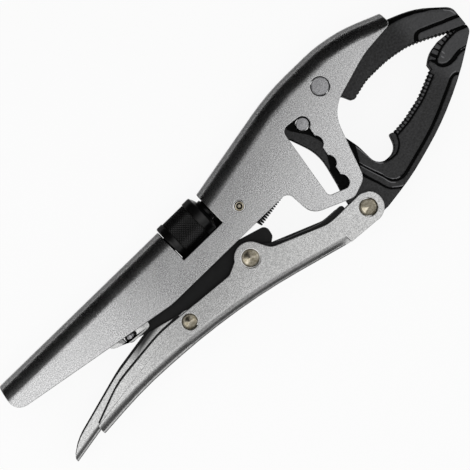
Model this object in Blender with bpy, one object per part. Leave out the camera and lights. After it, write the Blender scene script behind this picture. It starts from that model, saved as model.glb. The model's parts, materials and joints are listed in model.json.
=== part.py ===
"""Curved jaw locking pliers with a row of pivot notches, lying on their side.

+X runs along the adjusting screw towards the jaws, +Y points to the spine of the fixed
handle, and +Z is the thickness. The pliers are drawn about a point near the middle of the
knurled nut. The origin lies on the lower side plate, in front of that nut.
"""
import math

import bmesh
import bpy
from mathutils import Vector

# The drawing's four main sizes, from its zero point near the middle of the nut
head_length = 0.150
handle_length = 0.106
rise = 0.020
drop = 0.054
handle_crest = 0.385

# Where the origin lies on the side plate, from the drawing's zero point
origin_ahead = 0.040
origin_below = 0.012

# Sheet metal
width = 0.0176
body_wall = 0.0022
lever_wall = 0.0022
lever_fold = 0.0045
release_wall = 0.0015
release_fold = 0.0030

# Fits
clearance = 0.0003
overrun = 0.002
chamfer = 0.0004

# Forgings and plates
link_thickness = 0.0076
tooth_height = 0.0007
upper_tooth_count = 29
lower_tooth_count = 18
notch_count = 4

# Pins and rivets
jaw_rivet_radius = 0.0039
jaw_pin_radius = 0.0027
lever_pin_radius = 0.0037
toggle_pin_radius = 0.0040
release_pin_radius = 0.0032
heel_pin_radius = 0.0015
anchor_radius = 0.0022
anchor_bore = 0.0011
peg_radius = 0.0012
cross_pin_radius = 0.0012

# Metal left round the pins
lever_ear_rim = 0.0032
toggle_ear_rim = 0.0032
jaw_lug_rim = 0.0026
jaw_arm_rim = 0.0062
link_heel_rim = 0.0021
release_ear_rim = 0.0021
cheek_eye_rim = 0.0018
notch_play = 0.0006

# Adjusting screw and knurled nut
screw_radius = 0.0040
screw_reach_front = 0.030
screw_seat_depth = 0.012
nut_recess = 0.0001
nut_length = 0.0221
nut_rim_length = 0.0036
nut_neck_length = 0.0034
nut_neck_radius = 0.0068
nut_shoulder_share = 0.55
knurl_depth = 0.0004
window_play = 0.0004
window_front_gap = 0.0006
slider_travel = 0.0020
heel_swing = 0.0036
heel_lift = 0.0007
cross_pin_inset = 0.0045

# Opening spring
spring_radius = 0.0021
wire_radius = 0.0004
spring_pitch = 0.0013
spring_lead = 0.0042
curl_points = 9
eye_play = 0.00035
tine_gap = 0.0030
tine_root_share = 0.6

# How finely round shapes are drawn
arc_step = math.radians(15)
curve_error = 0.00005
fold_steps = 8
turned_sides = 32

mid = width / 2
inner_half = width / 2 - body_wall
jaw_half = inner_half - clearance
link_half = link_thickness / 2
cheek_half = width / 2 - lever_wall - clearance
slot_half = link_half + clearance
nut_radius = width / 2 - nut_recess
jaw_heel_round = jaw_half * 0.92
jaw_nose_round = jaw_half * 0.40


def at(along_share, across_share):
    """A point of the drawing, from its shares of the four main sizes."""
    reach = head_length if along_share > 0 else handle_length
    depth = rise if across_share > 0 else drop
    return Vector((along_share * reach - origin_ahead, across_share * depth + origin_below))


def corners(shares):
    """Corner points with their rounding, which is a share of the drop."""
    return [(*at(along, across), rounding * drop) for along, across, rounding in shares]


def arc_steps(turn, radius):
    """How many straight pieces make up an arc."""
    fine = 2 * math.acos(1 - min(curve_error / radius, 1))
    return max(2, math.ceil(turn / min(arc_step, fine)))


def arc(centre, radius, start_deg, end_deg):
    """Points on a circle, as corners with no rounding."""
    start, end = math.radians(start_deg), math.radians(end_deg)
    steps = arc_steps(abs(end - start), radius)
    angles = [start + (end - start) * step / steps for step in range(steps + 1)]
    return [(centre.x + radius * math.cos(a), centre.y + radius * math.sin(a), 0) for a in angles]


def rounded(points, closed=True):
    """Turn corners into a line of points, each rounded corner into an arc."""
    line = []
    count = len(points)
    for index, (x, y, radius) in enumerate(points):
        here = Vector((x, y))
        if radius == 0 or (not closed and index in (0, count - 1)):
            line.append(here)
            continue
        before = Vector(points[index - 1][:2]) - here
        after = Vector(points[(index + 1) % count][:2]) - here
        half_angle = before.angle(after) / 2
        reach = min(radius / math.tan(half_angle), before.length * 0.49, after.length * 0.49)
        radius = reach * math.tan(half_angle)
        inward = (before.normalized() + after.normalized()).normalized()
        middle = here + inward * radius / math.sin(half_angle)
        start = here + before.normalized() * reach - middle
        turn = math.pi - 2 * half_angle
        side = 1 if before.cross(after) < 0 else -1
        steps = arc_steps(turn, radius)
        for step in range(steps + 1):
            angle = side * turn * step / steps
            line.append(middle + Vector((start.x * math.cos(angle) - start.y * math.sin(angle),
                                         start.x * math.sin(angle) + start.y * math.cos(angle))))
    return line


def smooth(points, count):
    """Equal steps along a smooth curve through the points."""
    padded = [points[0] * 2 - points[1], *points, points[-1] * 2 - points[-2]]
    fine = []
    per_span = 12
    for a, b, c, d in zip(padded, padded[1:], padded[2:], padded[3:]):
        for step in range(per_span):
            t = step / per_span
            fine.append(0.5 * ((2 * b) + (c - a) * t + (2 * a - 5 * b + 4 * c - d) * t ** 2
                               + (3 * b - a - 3 * c + d) * t ** 3))
    fine.append(points[-1])
    lengths = [0]
    for a, b in zip(fine, fine[1:]):
        lengths.append(lengths[-1] + (b - a).length)
    line = []
    span = 0
    for step in range(count + 1):
        goal = lengths[-1] * step / count
        while span < len(fine) - 2 and lengths[span + 1] < goal:
            span += 1
        share = (goal - lengths[span]) / (lengths[span + 1] - lengths[span])
        line.append(fine[span].lerp(fine[span + 1], share))
    return line


def toothed(shares, tooth_count):
    """Teeth along a smooth line of tips, standing to the left of its direction."""
    tips = smooth([at(*share) for share in shares], 2 * tooth_count)
    line = []
    for index, tip in enumerate(tips):
        ahead = tips[min(index + 1, len(tips) - 1)] - tips[max(index - 1, 0)]
        left = Vector((-ahead.y, ahead.x)).normalized()
        place = tip if index % 2 else tip - left * tooth_height
        line.append((place.x, place.y, 0))
    return line


def material(name, colour, roughness, metallic):
    """A plain finish for the solid model."""
    made = bpy.data.materials.new(name)
    made.use_nodes = True
    shader = made.node_tree.nodes['Principled BSDF']
    shader.inputs['Base Color'].default_value = (*colour, 1)
    shader.inputs['Roughness'].default_value = roughness
    shader.inputs['Metallic'].default_value = metallic
    return made


def new_object(name, bm, finish):
    """Put a mesh in the scene under its name, with its outer faces pointing out."""
    bmesh.ops.recalc_face_normals(bm, faces=bm.faces)
    mesh = bpy.data.meshes.new(name)
    bm.to_mesh(mesh)
    bm.free()
    mesh.materials.append(finish)
    mesh.shade_smooth()
    mesh.set_sharp_from_angle(angle=math.radians(30))
    made = bpy.data.objects.new(name, mesh)
    bpy.context.scene.collection.objects.link(made)
    return made


def add_prism(bm, outline, low, high):
    """Extrude a closed outline from one height to another."""
    lower = [bm.verts.new((p.x, p.y, low)) for p in outline]
    upper = [bm.verts.new((p.x, p.y, high)) for p in outline]
    count = len(outline)
    caps = [bm.faces.new(reversed(lower)), bm.faces.new(upper)]
    for index in range(count):
        after = (index + 1) % count
        bm.faces.new((lower[index], lower[after], upper[after], upper[index]))
    bm.normal_update()
    bmesh.ops.triangulate(bm, faces=caps)


def prism(name, outline, half, finish):
    """A plate of the outline's shape, as far above the middle plane as below."""
    bm = bmesh.new()
    add_prism(bm, outline, mid - half, mid + half)
    return new_object(name, bm, finish)


def circle(centre, radius):
    """A closed round outline."""
    return [Vector((x, y)) for x, y, _ in arc(centre, radius, 0, 360)[:-1]]


def box(low_x, high_x, low_y, high_y):
    """A closed rectangular outline."""
    return [Vector(spot) for spot in ((low_x, low_y), (high_x, low_y), (high_x, high_y), (low_x, high_y))]


def turned(name, profile, sides, place, axis, finish, hollow=False):
    """Turn a profile of (radius, height) pairs round an axis, 'x' or 'z', through a place."""
    bm = bmesh.new()
    rings = []
    for radius, height in profile:
        if radius == 0:
            spots = [(0, 0)]
        else:
            spots = [(radius * math.cos(math.tau * s / sides), radius * math.sin(math.tau * s / sides))
                     for s in range(sides)]
        if axis == 'z':
            ring = [bm.verts.new((place[0] + u, place[1] + v, place[2] + height)) for u, v in spots]
        else:
            ring = [bm.verts.new((place[0] + height, place[1] + u, place[2] + v)) for u, v in spots]
        rings.append(ring)
    pairs = list(zip(rings, rings[1:]))
    if hollow:
        pairs.append((rings[-1], rings[0]))
    for first, second in pairs:
        for s in range(sides):
            after = (s + 1) % sides
            if len(first) == 1:
                bm.faces.new((first[0], second[after], second[s]))
            elif len(second) == 1:
                bm.faces.new((first[s], first[after], second[0]))
            else:
                bm.faces.new((first[s], first[after], second[after], second[s]))
    return new_object(name, bm, finish)


def pin(name, centre, radius, half, finish):
    """A round pin across the tool, with a small chamfer at each end."""
    profile = [(0, -half), (radius - chamfer, -half), (radius, chamfer - half),
               (radius, half - chamfer), (radius - chamfer, half), (0, half)]
    return turned(name, profile, turned_sides, (centre.x, centre.y, mid), 'z', finish)


def folded_sheet(name, crest, facing, half, folds, wall, open_edge, finish):
    """A sheet folded to a U along its crest line. With no wall it is a solid bar.

    facing is 1 where the fold is on the +Y side and -1 where it is on the -Y side.
    folds are the radii of the fold at the start and at the end of the crest.
    """
    def section(top, half_width, radius):
        points = [(open_edge, -half_width)]
        for step in range(fold_steps + 1):
            angle = math.pi / 2 * step / fold_steps
            points.append((top - facing * radius * (1 - math.sin(angle)),
                           -half_width + radius * (1 - math.cos(angle))))
        return points + [(y, -z) for y, z in reversed(points)]

    bm = bmesh.new()
    stations = []
    length = crest[-1].x - crest[0].x
    for spot in crest:
        fold = folds[0] + (folds[1] - folds[0]) * (spot.x - crest[0].x) / length
        outer = [bm.verts.new((spot.x, y, mid + z)) for y, z in section(spot.y, half, fold)]
        inner = []
        if wall:
            spots = section(spot.y - facing * wall, half - wall, fold - wall)
            inner = [bm.verts.new((spot.x, y, mid + z)) for y, z in spots]
        stations.append((outer, inner))
    for (outer_a, inner_a), (outer_b, inner_b) in zip(stations, stations[1:]):
        for line_a, line_b in ((outer_a, outer_b), (inner_a, inner_b)):
            for index in range(len(line_a) - 1):
                bm.faces.new((line_a[index], line_a[index + 1], line_b[index + 1], line_b[index]))
        rims = ((0, 0), (-1, -1))
        for end, _ in rims:
            if wall:
                bm.faces.new((outer_a[end], outer_b[end], inner_b[end], inner_a[end]))
        if not wall:
            bm.faces.new((outer_a[0], outer_b[0], outer_b[-1], outer_a[-1]))
    for outer, inner in (stations[0], stations[-1]):
        if wall:
            for index in range(len(outer) - 1):
                bm.faces.new((outer[index], outer[index + 1], inner[index + 1], inner[index]))
        else:
            bm.faces.new(outer)
    bmesh.ops.remove_doubles(bm, verts=bm.verts, dist=clearance / 100)
    return new_object(name, bm, finish)


def combine(target, tool, operation):
    """Cut, join or trim the target with a tool shape, which is then hidden."""
    change = target.modifiers.new(operation.lower(), 'BOOLEAN')
    change.operation = operation
    change.object = tool
    tool.hide_render = True
    tool.display_type = 'WIRE'


def cut(target, holes):
    """Cut prisms out of the target. Each hole is (outline, half height)."""
    bm = bmesh.new()
    for outline, half in holes:
        add_prism(bm, outline, mid - half, mid + half)
    combine(target, new_object(target.name + '_cutter', bm, guide), 'DIFFERENCE')


through = width / 2 + overrun

for old in list(bpy.data.objects):
    bpy.data.objects.remove(old)

# Finishes
satin_steel = material('satin_nickel_steel', (0.52, 0.52, 0.53), 0.38, 1.0)
black_forging = material('black_forging', (0.012, 0.012, 0.013), 0.45, 0.3)
black_plate = material('black_plate', (0.014, 0.014, 0.015), 0.5, 0.2)
black_knurl = material('black_oxide', (0.008, 0.008, 0.008), 0.4, 0.5)
rivet_steel = material('bright_rivet_steel', (0.45, 0.45, 0.45), 0.35, 1.0)
pin_steel = material('yellow_passivated_steel', (0.42, 0.37, 0.26), 0.3, 1.0)
spring_wire = material('spring_wire', (0.02, 0.02, 0.02), 0.35, 0.8)
guide = material('guide', (0.8, 0.2, 0.1), 0.5, 0.0)

# Pivots, as shares of the drawing
jaw_pivot = at(0.440, -0.044)
lever_pivot = at(0.410, -0.880)
toggle_pivot = at(0.068, -0.519)
heel_pivot = at(-0.474, -0.302)
release_pivot = at(-0.258, -0.546)
jaw_rivet_place = at(0.551, 0.200)
anchor_place = at(0.148, -0.161)
peg_place = at(0.349, -0.250)
screw_place = at(0.0037, 0.018)


def make_body():
    """The fixed handle and jaw carrier, one sheet folded round the spine."""
    crest_shares = [(-1.048, handle_crest, 0), (0.081, handle_crest, 0), (0.429, 0.895, 2.1),
                    (0.668, 0.895, 1.9), (0.840, 0.379, 0)]
    outline_shares = [(-0.960, 1.300, 0), (-0.989, 0.700, 0), (-1.016, -0.105, 0.110),
                      (-0.262, -0.350, 0.556), (0.276, -0.350, 0.065), (0.283, -0.611, 0.130),
                      (0.402, -0.750, 0.093), (0.460, -0.691, 0.111), (0.529, -0.135, 0.296),
                      (0.707, 0.040, 0.741), (0.819, 0.110, 0.046), (0.821, 0.490, 0.028),
                      (0.747, 1.300, 0)]
    low_edge = at(0, -0.9).y
    body = folded_sheet('body_shell', rounded(corners(crest_shares), closed=False), 1,
                        width / 2, (width / 2, width / 2), body_wall, low_edge, satin_steel)
    combine(body, prism('body_outline', rounded(corners(outline_shares)), through, guide), 'INTERSECT')
    nut_window = box(screw_place.x - nut_length / 2 - window_play,
                     screw_place.x + nut_length / 2 + window_front_gap,
                     screw_place.y - nut_radius - window_play, at(0, 1.4).y)
    cut(body, [(nut_window, through), (notched_window(), through),
               (circle(jaw_rivet_place, jaw_rivet_radius + clearance), through),
               (circle(anchor_place, anchor_radius + clearance), through)])
    return body


def notched_window():
    """The slot for the jaw's pivot pin, with a row of round notches on its front side."""
    last_notch = at(0.405, -0.591)
    row = last_notch - jaw_pivot
    front_deg = math.degrees(math.atan2(row.y, row.x)) + 90
    notch_radius = jaw_pin_radius + notch_play
    outline = corners([(0.386, 0.095, 0.056), (0.351, -0.596, 0.037)])
    for index in reversed(range(notch_count)):
        centre = jaw_pivot + row * index / (notch_count - 1)
        low_deg = -80 if index == notch_count - 1 else -62
        high_deg = 85 if index == 0 else 62
        outline += arc(centre, notch_radius, front_deg + low_deg, front_deg + high_deg)
    return rounded(outline)


def make_upper_jaw():
    """The fixed forged jaw, riveted between the side plates."""
    crest_shares = [(0.490, 0.720, 0), (0.600, 0.720, 1.111), (0.827, 0.225, 1.111),
                    (0.903, -0.008, 0.910), (0.985, -0.212, 0)]
    edge_shares = [(0.503, 0.900, 0), (0.660, 0.900, 0), (0.905, 0.130, 0),
                   (0.979, -0.209, 0.093), (0.974, -0.381, 0.007)]
    tip_shares = [(0.929, -0.341), (0.895, -0.293), (0.860, -0.244), (0.820, -0.196),
                  (0.790, -0.174), (0.740, -0.154), (0.687, -0.152), (0.656, -0.157), (0.613, -0.185)]
    tang_shares = [(0.604, -0.193, 0.015), (0.590, -0.176, 0.028), (0.577, -0.096, 0.037),
                   (0.527, -0.078, 0.093), (0.498, 0.100, 0.093)]
    outline = corners(edge_shares) + toothed(tip_shares, upper_tooth_count) + corners(tang_shares)
    jaw = folded_sheet('upper_jaw', rounded(corners(crest_shares), closed=False), 1, jaw_half,
                       (jaw_heel_round, jaw_nose_round), 0, at(0, -0.5).y, black_forging)
    combine(jaw, prism('upper_jaw_outline', rounded(outline), through, guide), 'INTERSECT')
    cut(jaw, [(circle(jaw_rivet_place, jaw_rivet_radius + clearance), through)])
    return jaw


def make_lower_jaw():
    """The moving forged jaw, with its arm up to the pivot notches and a lug for the lever."""
    outer_shares = [(0.974, -0.393, 0.007), (0.970, -0.436, 0.074), (0.864, -0.630, 2.600),
                    (0.727, -0.812, 2.600), (0.561, -0.945, 2.600), (0.453, -0.987, 0.111)]
    arm_shares = [(0.383, -0.667, 0.093), (0.393, -0.583, 0.056), (0.417, -0.306, 0.407),
                  (0.382, -0.041, 0.019), (0.364, -0.100, 0.011), (0.364, -0.298, 0.037),
                  (0.334, -0.298, 0.037), (0.334, 0.100, 0.056), (0.385, 0.310, 0.056)]
    hook_shares = [(0.492, -0.222, 0.148), (0.511, -0.481, 0.370), (0.513, -0.709, 0.102),
                   (0.583, -0.715, 0.102), (0.601, -0.574, 0.022)]
    tip_shares = [(0.613, -0.591), (0.656, -0.580), (0.691, -0.559), (0.725, -0.537),
                  (0.755, -0.506), (0.786, -0.469), (0.812, -0.437)]
    pad_shares = [(0.817, -0.396, 0.009), (0.883, -0.320, 0.056), (0.929, -0.350, 0)]
    outline = (corners(outer_shares)
               + arc(lever_pivot, lever_pin_radius + jaw_lug_rim, -65, -185)
               + corners(arm_shares)
               + arc(jaw_pivot, jaw_pin_radius + jaw_arm_rim, 110, -25)
               + corners(hook_shares)
               + toothed(tip_shares, lower_tooth_count)
               + corners(pad_shares))
    jaw = prism('lower_jaw', rounded(outline), jaw_half, black_forging)
    tine_slot = box(at(0.334, 0).x - overrun, at(0.364, 0).x + overrun,
                    at(0, -0.298).y - overrun,
                    peg_place.y + (at(0, -0.100).y - peg_place.y) * tine_root_share)
    cut(jaw, [(circle(jaw_pivot, jaw_pin_radius + clearance), through),
              (circle(lever_pivot, lever_pin_radius + clearance), through)])
    cut(jaw, [(tine_slot, tine_gap / 2)])
    cut(jaw, [(circle(peg_place, peg_radius + clearance), through)])
    return jaw


def make_lever():
    """The moving handle: a folded sheet with two flat ears at the jaw's end."""
    back_shares = [(-0.830, -0.714, 0), (-0.572, -0.674, 5.500), (-0.236, -0.707, 5.900),
                   (0.041, -0.793, 5.300), (0.312, -0.989, 0.370), (0.353, -0.991, 0)]
    rear_shares = [(0.400, -1.148, 0), (-0.835, -1.148, 0), (-0.817, -0.633, 0.037),
                   (-0.642, -0.500, 0.741), (-0.377, -0.441, 1.111), (-0.014, -0.500, 0.074)]
    front_shares = [(0.131, -0.570, 0.111), (0.297, -0.757, 0.278), (0.400, -0.757, 0)]
    top_edge = at(0, -0.3).y
    lever = folded_sheet('lever', rounded(corners(back_shares), closed=False), -1,
                         width / 2, (lever_fold, lever_fold), lever_wall, top_edge, satin_steel)
    outline = (corners(rear_shares)
               + arc(toggle_pivot, toggle_pin_radius + toggle_ear_rim, 150, 25)
               + corners(front_shares))
    combine(lever, prism('lever_outline', rounded(outline), through, guide), 'INTERSECT')
    ear = (corners([(0.307, -0.985, 0), (0.307, -0.757, 0), (0.419, -0.757, 0.074)])
           + arc(lever_pivot, lever_pin_radius + lever_ear_rim, 45, -105))
    bm = bmesh.new()
    add_prism(bm, rounded(ear), 0, lever_wall)
    add_prism(bm, rounded(ear), width - lever_wall, width)
    combine(lever, new_object('lever_ears', bm, guide), 'UNION')
    cut(lever, [(circle(lever_pivot, lever_pin_radius + clearance), through),
                (circle(toggle_pivot, toggle_pin_radius + clearance), through),
                (circle(release_pivot, release_pin_radius + clearance), through)])
    return lever


def make_link():
    """The toggle link, from the lever to the slider, with a nose past its front pin."""
    shares = [(0.081, -0.350, 0.037), (0.166, -0.418, 0.056), (0.158, -0.515, 0.040),
              (0.130, -0.570, 0.030), (0.080, -0.633, 0.093), (-0.094, -0.574, 0.185),
              (-0.264, -0.463, 0.185), (-0.434, -0.378, 0.074)]
    top_shares = [(-0.415, -0.220, 0.111), (0.013, -0.270, 0.185), (0.060, -0.326, 0.093)]
    outline = (corners(shares)
               + arc(heel_pivot, heel_pin_radius + link_heel_rim, -70, -270)
               + corners(top_shares))
    link = prism('toggle_link', rounded(outline), link_half, black_plate)
    cut(link, [(circle(toggle_pivot, toggle_pin_radius + clearance), through),
               (circle(heel_pivot, heel_pin_radius + clearance), through)])
    return link


def make_cheek(name, side):
    """One of two black plates inside the lever, from the toggle pin towards the jaw."""
    shares = [(0.142, -0.544, 0.074), (0.299, -0.717, 0.259), (0.360, -0.720, 0.019),
              (0.360, -0.841, 0.028), (0.280, -0.841, 0.185), (0.133, -0.685, 0.111)]
    outline = (corners(shares)
               + arc(toggle_pivot, toggle_pin_radius + cheek_eye_rim, -80, -310))
    bm = bmesh.new()
    edges = sorted((mid + side * slot_half, mid + side * cheek_half))
    add_prism(bm, rounded(outline), *edges)
    cheek = new_object(name, bm, black_plate)
    cut(cheek, [(circle(toggle_pivot, toggle_pin_radius + clearance), through)])
    return cheek


def make_release_lever():
    """The release lever, a folded sheet inside the lever, with its tail past the end."""
    back_shares = [(-1.000, -0.733, 0), (-0.816, -0.669, 0.400), (-0.660, -0.636, 0.600),
                   (-0.509, -0.630, 1.800), (-0.189, -0.650, 0)]
    tail_shares = [(-0.409, -0.376, 0.019), (-0.623, -0.444, 1.111), (-0.915, -0.604, 0.556),
                   (-0.979, -0.693, 0.056), (-0.975, -0.759, 0.009), (-0.302, -0.759, 0)]
    half = width / 2 - lever_wall - clearance
    release = folded_sheet('release_lever', rounded(corners(back_shares), closed=False), -1,
                           half, (release_fold, release_fold), release_wall,
                           at(0, -0.25).y, satin_steel)
    outline = (arc(release_pivot, release_pin_radius + release_ear_rim, -60, 100)
               + corners(tail_shares))
    combine(release, prism('release_outline', rounded(outline), through, guide), 'INTERSECT')
    cut(release, [(circle(release_pivot, release_pin_radius + clearance), through)])
    return release


def make_slider():
    """The block on the screw's rear end, whose two cheeks carry the link's heel pin."""
    shares = [(-0.564, 0.600, 0), (-0.564, -0.267, 0.019), (-0.505, -0.324, 0.111),
              (-0.470, -0.350, 0.056), (-0.389, -0.352, 0.022), (-0.383, -0.185, 0),
              (-0.383, 0.600, 0)]
    rear, front = at(-0.564, 0).x, at(-0.383, 0).x
    crest_y = at(0, handle_crest).y - body_wall - clearance
    crest = [Vector((rear - overrun, crest_y)), Vector((front + overrun, crest_y))]
    slider = folded_sheet('slider_block', crest, 1, jaw_half, (jaw_half, jaw_half), 0,
                          at(0, -0.45).y, satin_steel)
    combine(slider, prism('slider_outline', rounded(corners(shares)), through, guide), 'INTERSECT')
    bore = turned('slider_bore', [(0, -screw_seat_depth), (screw_radius + clearance, -screw_seat_depth),
                                  (screw_radius + clearance, overrun), (0, overrun)],
                  turned_sides, (front, screw_place.y, mid), 'x', guide)
    combine(slider, bore, 'DIFFERENCE')
    slot_top = heel_pivot.y + heel_pin_radius + link_heel_rim + heel_lift + clearance
    link_slot = box(rear - 2 * overrun, front + 2 * overrun, at(0, -0.5).y, slot_top)
    play = heel_pin_radius + clearance
    low = heel_pivot.y - play
    high = heel_pivot.y + play + heel_lift
    pin_slot = rounded([(heel_pivot.x - heel_swing - slider_travel - play, low, play / 2),
                        (heel_pivot.x + slider_travel + play, low, play),
                        (heel_pivot.x + slider_travel + play, high, play),
                        (heel_pivot.x - heel_swing - slider_travel - play, high, play)])
    cut(slider, [(link_slot, slot_half)])
    cut(slider, [(pin_slot, through)])
    cut(slider, [(circle(cross_pin_place(), cross_pin_radius + clearance), through)])
    return slider


def cross_pin_place():
    """Middle of the pin that holds the screw in the slider."""
    return Vector((at(-0.383, 0).x - cross_pin_inset, screw_place.y))


def make_screw():
    """The adjusting screw, from the slider through the nut into the front body."""
    rear = at(-0.383, 0).x - screw_seat_depth + clearance
    front = screw_place.x + screw_reach_front
    profile = [(0, rear), (screw_radius - chamfer, rear), (screw_radius, rear + chamfer),
               (screw_radius, front - chamfer), (screw_radius - chamfer, front), (0, front)]
    screw = turned('adjusting_screw', profile, turned_sides, (0, screw_place.y, mid), 'x', black_knurl)
    cut(screw, [(circle(cross_pin_place(), cross_pin_radius + clearance), through)])
    return screw


def make_nut():
    """The knurled nut round the screw, with a plain rim at each end and a turned neck."""
    half = nut_length / 2
    bore = screw_radius + clearance
    rim, neck = nut_rim_length, nut_neck_length
    grip = nut_radius - knurl_depth
    profile = [(bore, -half), (nut_radius - 2 * chamfer, -half), (nut_radius, 2 * chamfer - half),
               (nut_radius, rim - half), (grip, rim + chamfer - half),
               (grip, half - neck - rim - chamfer), (nut_radius, half - neck - rim),
               (nut_radius, half - neck), (nut_radius - chamfer, half - neck * nut_shoulder_share),
               (nut_neck_radius, half - neck * nut_shoulder_share), (nut_neck_radius, half), (bore, half)]
    return turned('knurled_nut', profile, 2 * turned_sides, (screw_place.x, screw_place.y, mid), 'x',
                  black_knurl, hollow=True)


def make_anchor():
    """The hollow rivet across the body that holds the spring's rear hook."""
    half = width / 2
    profile = [(anchor_bore, -half), (anchor_radius - chamfer, -half), (anchor_radius, chamfer - half),
               (anchor_radius, half - chamfer), (anchor_radius - chamfer, half), (anchor_bore, half)]
    return turned('spring_anchor_rivet', profile, turned_sides, (anchor_place.x, anchor_place.y, mid),
                  'z', pin_steel, hollow=True)


def bend(start, start_way, end, end_way, steps):
    """Points of a smooth bend from one place to another, leaving out the first."""
    points = []
    for step in range(1, steps + 1):
        t = step / steps
        points.append(start * (1 + 2 * t) * (1 - t) ** 2 + start_way * t * (1 - t) ** 2
                      + end * t ** 2 * (3 - 2 * t) - end_way * t ** 2 * (1 - t))
    return points


def spring_route():
    """One unbroken wire: the hook over the anchor, the curls, and the eye round the peg."""
    rear = at(0.153, -0.343)
    along = (peg_place - rear).normalized()
    across = Vector((-along.y, along.x))
    along_deg = math.degrees(math.atan2(along.y, along.x))
    curls = round(((peg_place - rear).length - spring_lead) / spring_pitch)

    def on_coil(turns):
        angle = math.pi + math.tau * turns
        flat = rear + along * spring_pitch * turns + across * spring_radius * math.sin(angle)
        return Vector((flat.x, flat.y, mid + spring_radius * math.cos(angle)))

    def ring(centre, radius, start_deg, end_deg):
        return [Vector((x, y, mid)) for x, y, _ in arc(centre, radius, along_deg + start_deg,
                                                       along_deg + end_deg)]

    down = Vector((-across.x, -across.y, 0))
    hook = ring(anchor_place, anchor_radius + wire_radius + eye_play, -20, 180)
    shank = (hook[-1] - on_coil(0)).length
    route = hook + bend(hook[-1], down * shank, on_coil(0), down * shank, 8)[:-1]
    route += [on_coil(step / curl_points) for step in range(curls * curl_points + 1)]
    eye = ring(peg_place, peg_radius + wire_radius + eye_play, -120, 150)
    last = on_coil(curls)
    lead = (eye[0] - last).length
    route += bend(last, down * lead, eye[0], (eye[1] - eye[0]).normalized() * lead, 5)[:-1]
    return route + eye


def least_gap(route):
    """The smallest space that the wire leaves to itself, measured on its points."""
    least = math.inf
    for index, here in enumerate(route):
        for other in route[index + curl_points - 2:]:
            least = min(least, (here - other).length - 2 * wire_radius)
    return least


def make_spring():
    """The tension spring that opens the jaws."""
    route = spring_route()
    print('spring: least gap to itself, metres', round(least_gap(route), 5))
    curve = bpy.data.curves.new('opening_spring', 'CURVE')
    curve.dimensions = '3D'
    curve.bevel_depth = wire_radius
    curve.bevel_resolution = 1
    curve.use_fill_caps = True
    spline = curve.splines.new('POLY')
    spline.points.add(len(route) - 1)
    for point, place in zip(spline.points, route):
        point.co = (*place, 1)
    tube = bpy.data.objects.new('spring_curve', curve)
    bm = bmesh.new()
    bm.from_mesh(tube.to_mesh())
    bmesh.ops.remove_doubles(bm, verts=bm.verts, dist=wire_radius / 100)
    bpy.data.objects.remove(tube)
    return new_object('opening_spring', bm, spring_wire)


def attach(child, parent):
    """Parent a child and leave it where it is."""
    bpy.context.view_layer.update()
    child.parent = parent
    child.matrix_parent_inverse = parent.matrix_world.inverted()


def joint_frame(name, place, pieces, parent=None):
    """An empty on a joint's axis with its pieces, under the empty of the joint before it."""
    empty = bpy.data.objects.new(name, None)
    bpy.context.scene.collection.objects.link(empty)
    empty.location = (place.x, place.y, mid)
    if parent:
        attach(empty, parent)
    for piece in pieces:
        attach(piece, empty)
    return empty


# The fixed handle and what is held in it
make_body()
make_upper_jaw()
pin('upper_jaw_rivet', jaw_rivet_place, jaw_rivet_radius, width / 2, rivet_steel)
make_anchor()
make_spring()

# The moving pieces, from each joint to the next
jaw_frame = joint_frame('jaw_axis', jaw_pivot, [
    make_lower_jaw(),
    pin('jaw_pivot_pin', jaw_pivot, jaw_pin_radius, width / 2, rivet_steel),
    pin('spring_peg', peg_place, peg_radius, jaw_half, pin_steel)])
lever_frame = joint_frame('lever_axis', lever_pivot, [
    make_lever(),
    make_cheek('near_cheek', 1),
    make_cheek('far_cheek', -1),
    pin('jaw_lever_pin', lever_pivot, lever_pin_radius, width / 2, pin_steel),
    pin('toggle_pin', toggle_pivot, toggle_pin_radius, width / 2, pin_steel),
    pin('release_pin', release_pivot, release_pin_radius, width / 2, pin_steel)], jaw_frame)
joint_frame('link_axis', toggle_pivot, [
    make_link(),
    pin('heel_pin', heel_pivot, heel_pin_radius, jaw_half, pin_steel)], lever_frame)
joint_frame('release_axis', release_pivot, [make_release_lever()], lever_frame)
joint_frame('slider_axis', screw_place, [
    make_slider(),
    make_screw(),
    pin('screw_cross_pin', cross_pin_place(), cross_pin_radius, screw_radius, pin_steel)])
joint_frame('nut_axis', screw_place, [make_nut()])
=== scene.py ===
# %% [markdown]
# # Curved jaw locking pliers
#
# The pliers lie on their side, locked, seen from straight above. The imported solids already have
# the right outlines. This lesson gives each of them the surface that the real piece has: blasted
# and plated sheet steel, black forgings with grooves and teeth, a knurled nut, a threaded screw,
# turned pins and a wound spring.

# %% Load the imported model
import json
import math

import bmesh
import bpy
import numpy as np
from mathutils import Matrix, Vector
from mathutils.bvhtree import BVHTree
from mathutils.geometry import delaunay_2d_cdt


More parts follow.
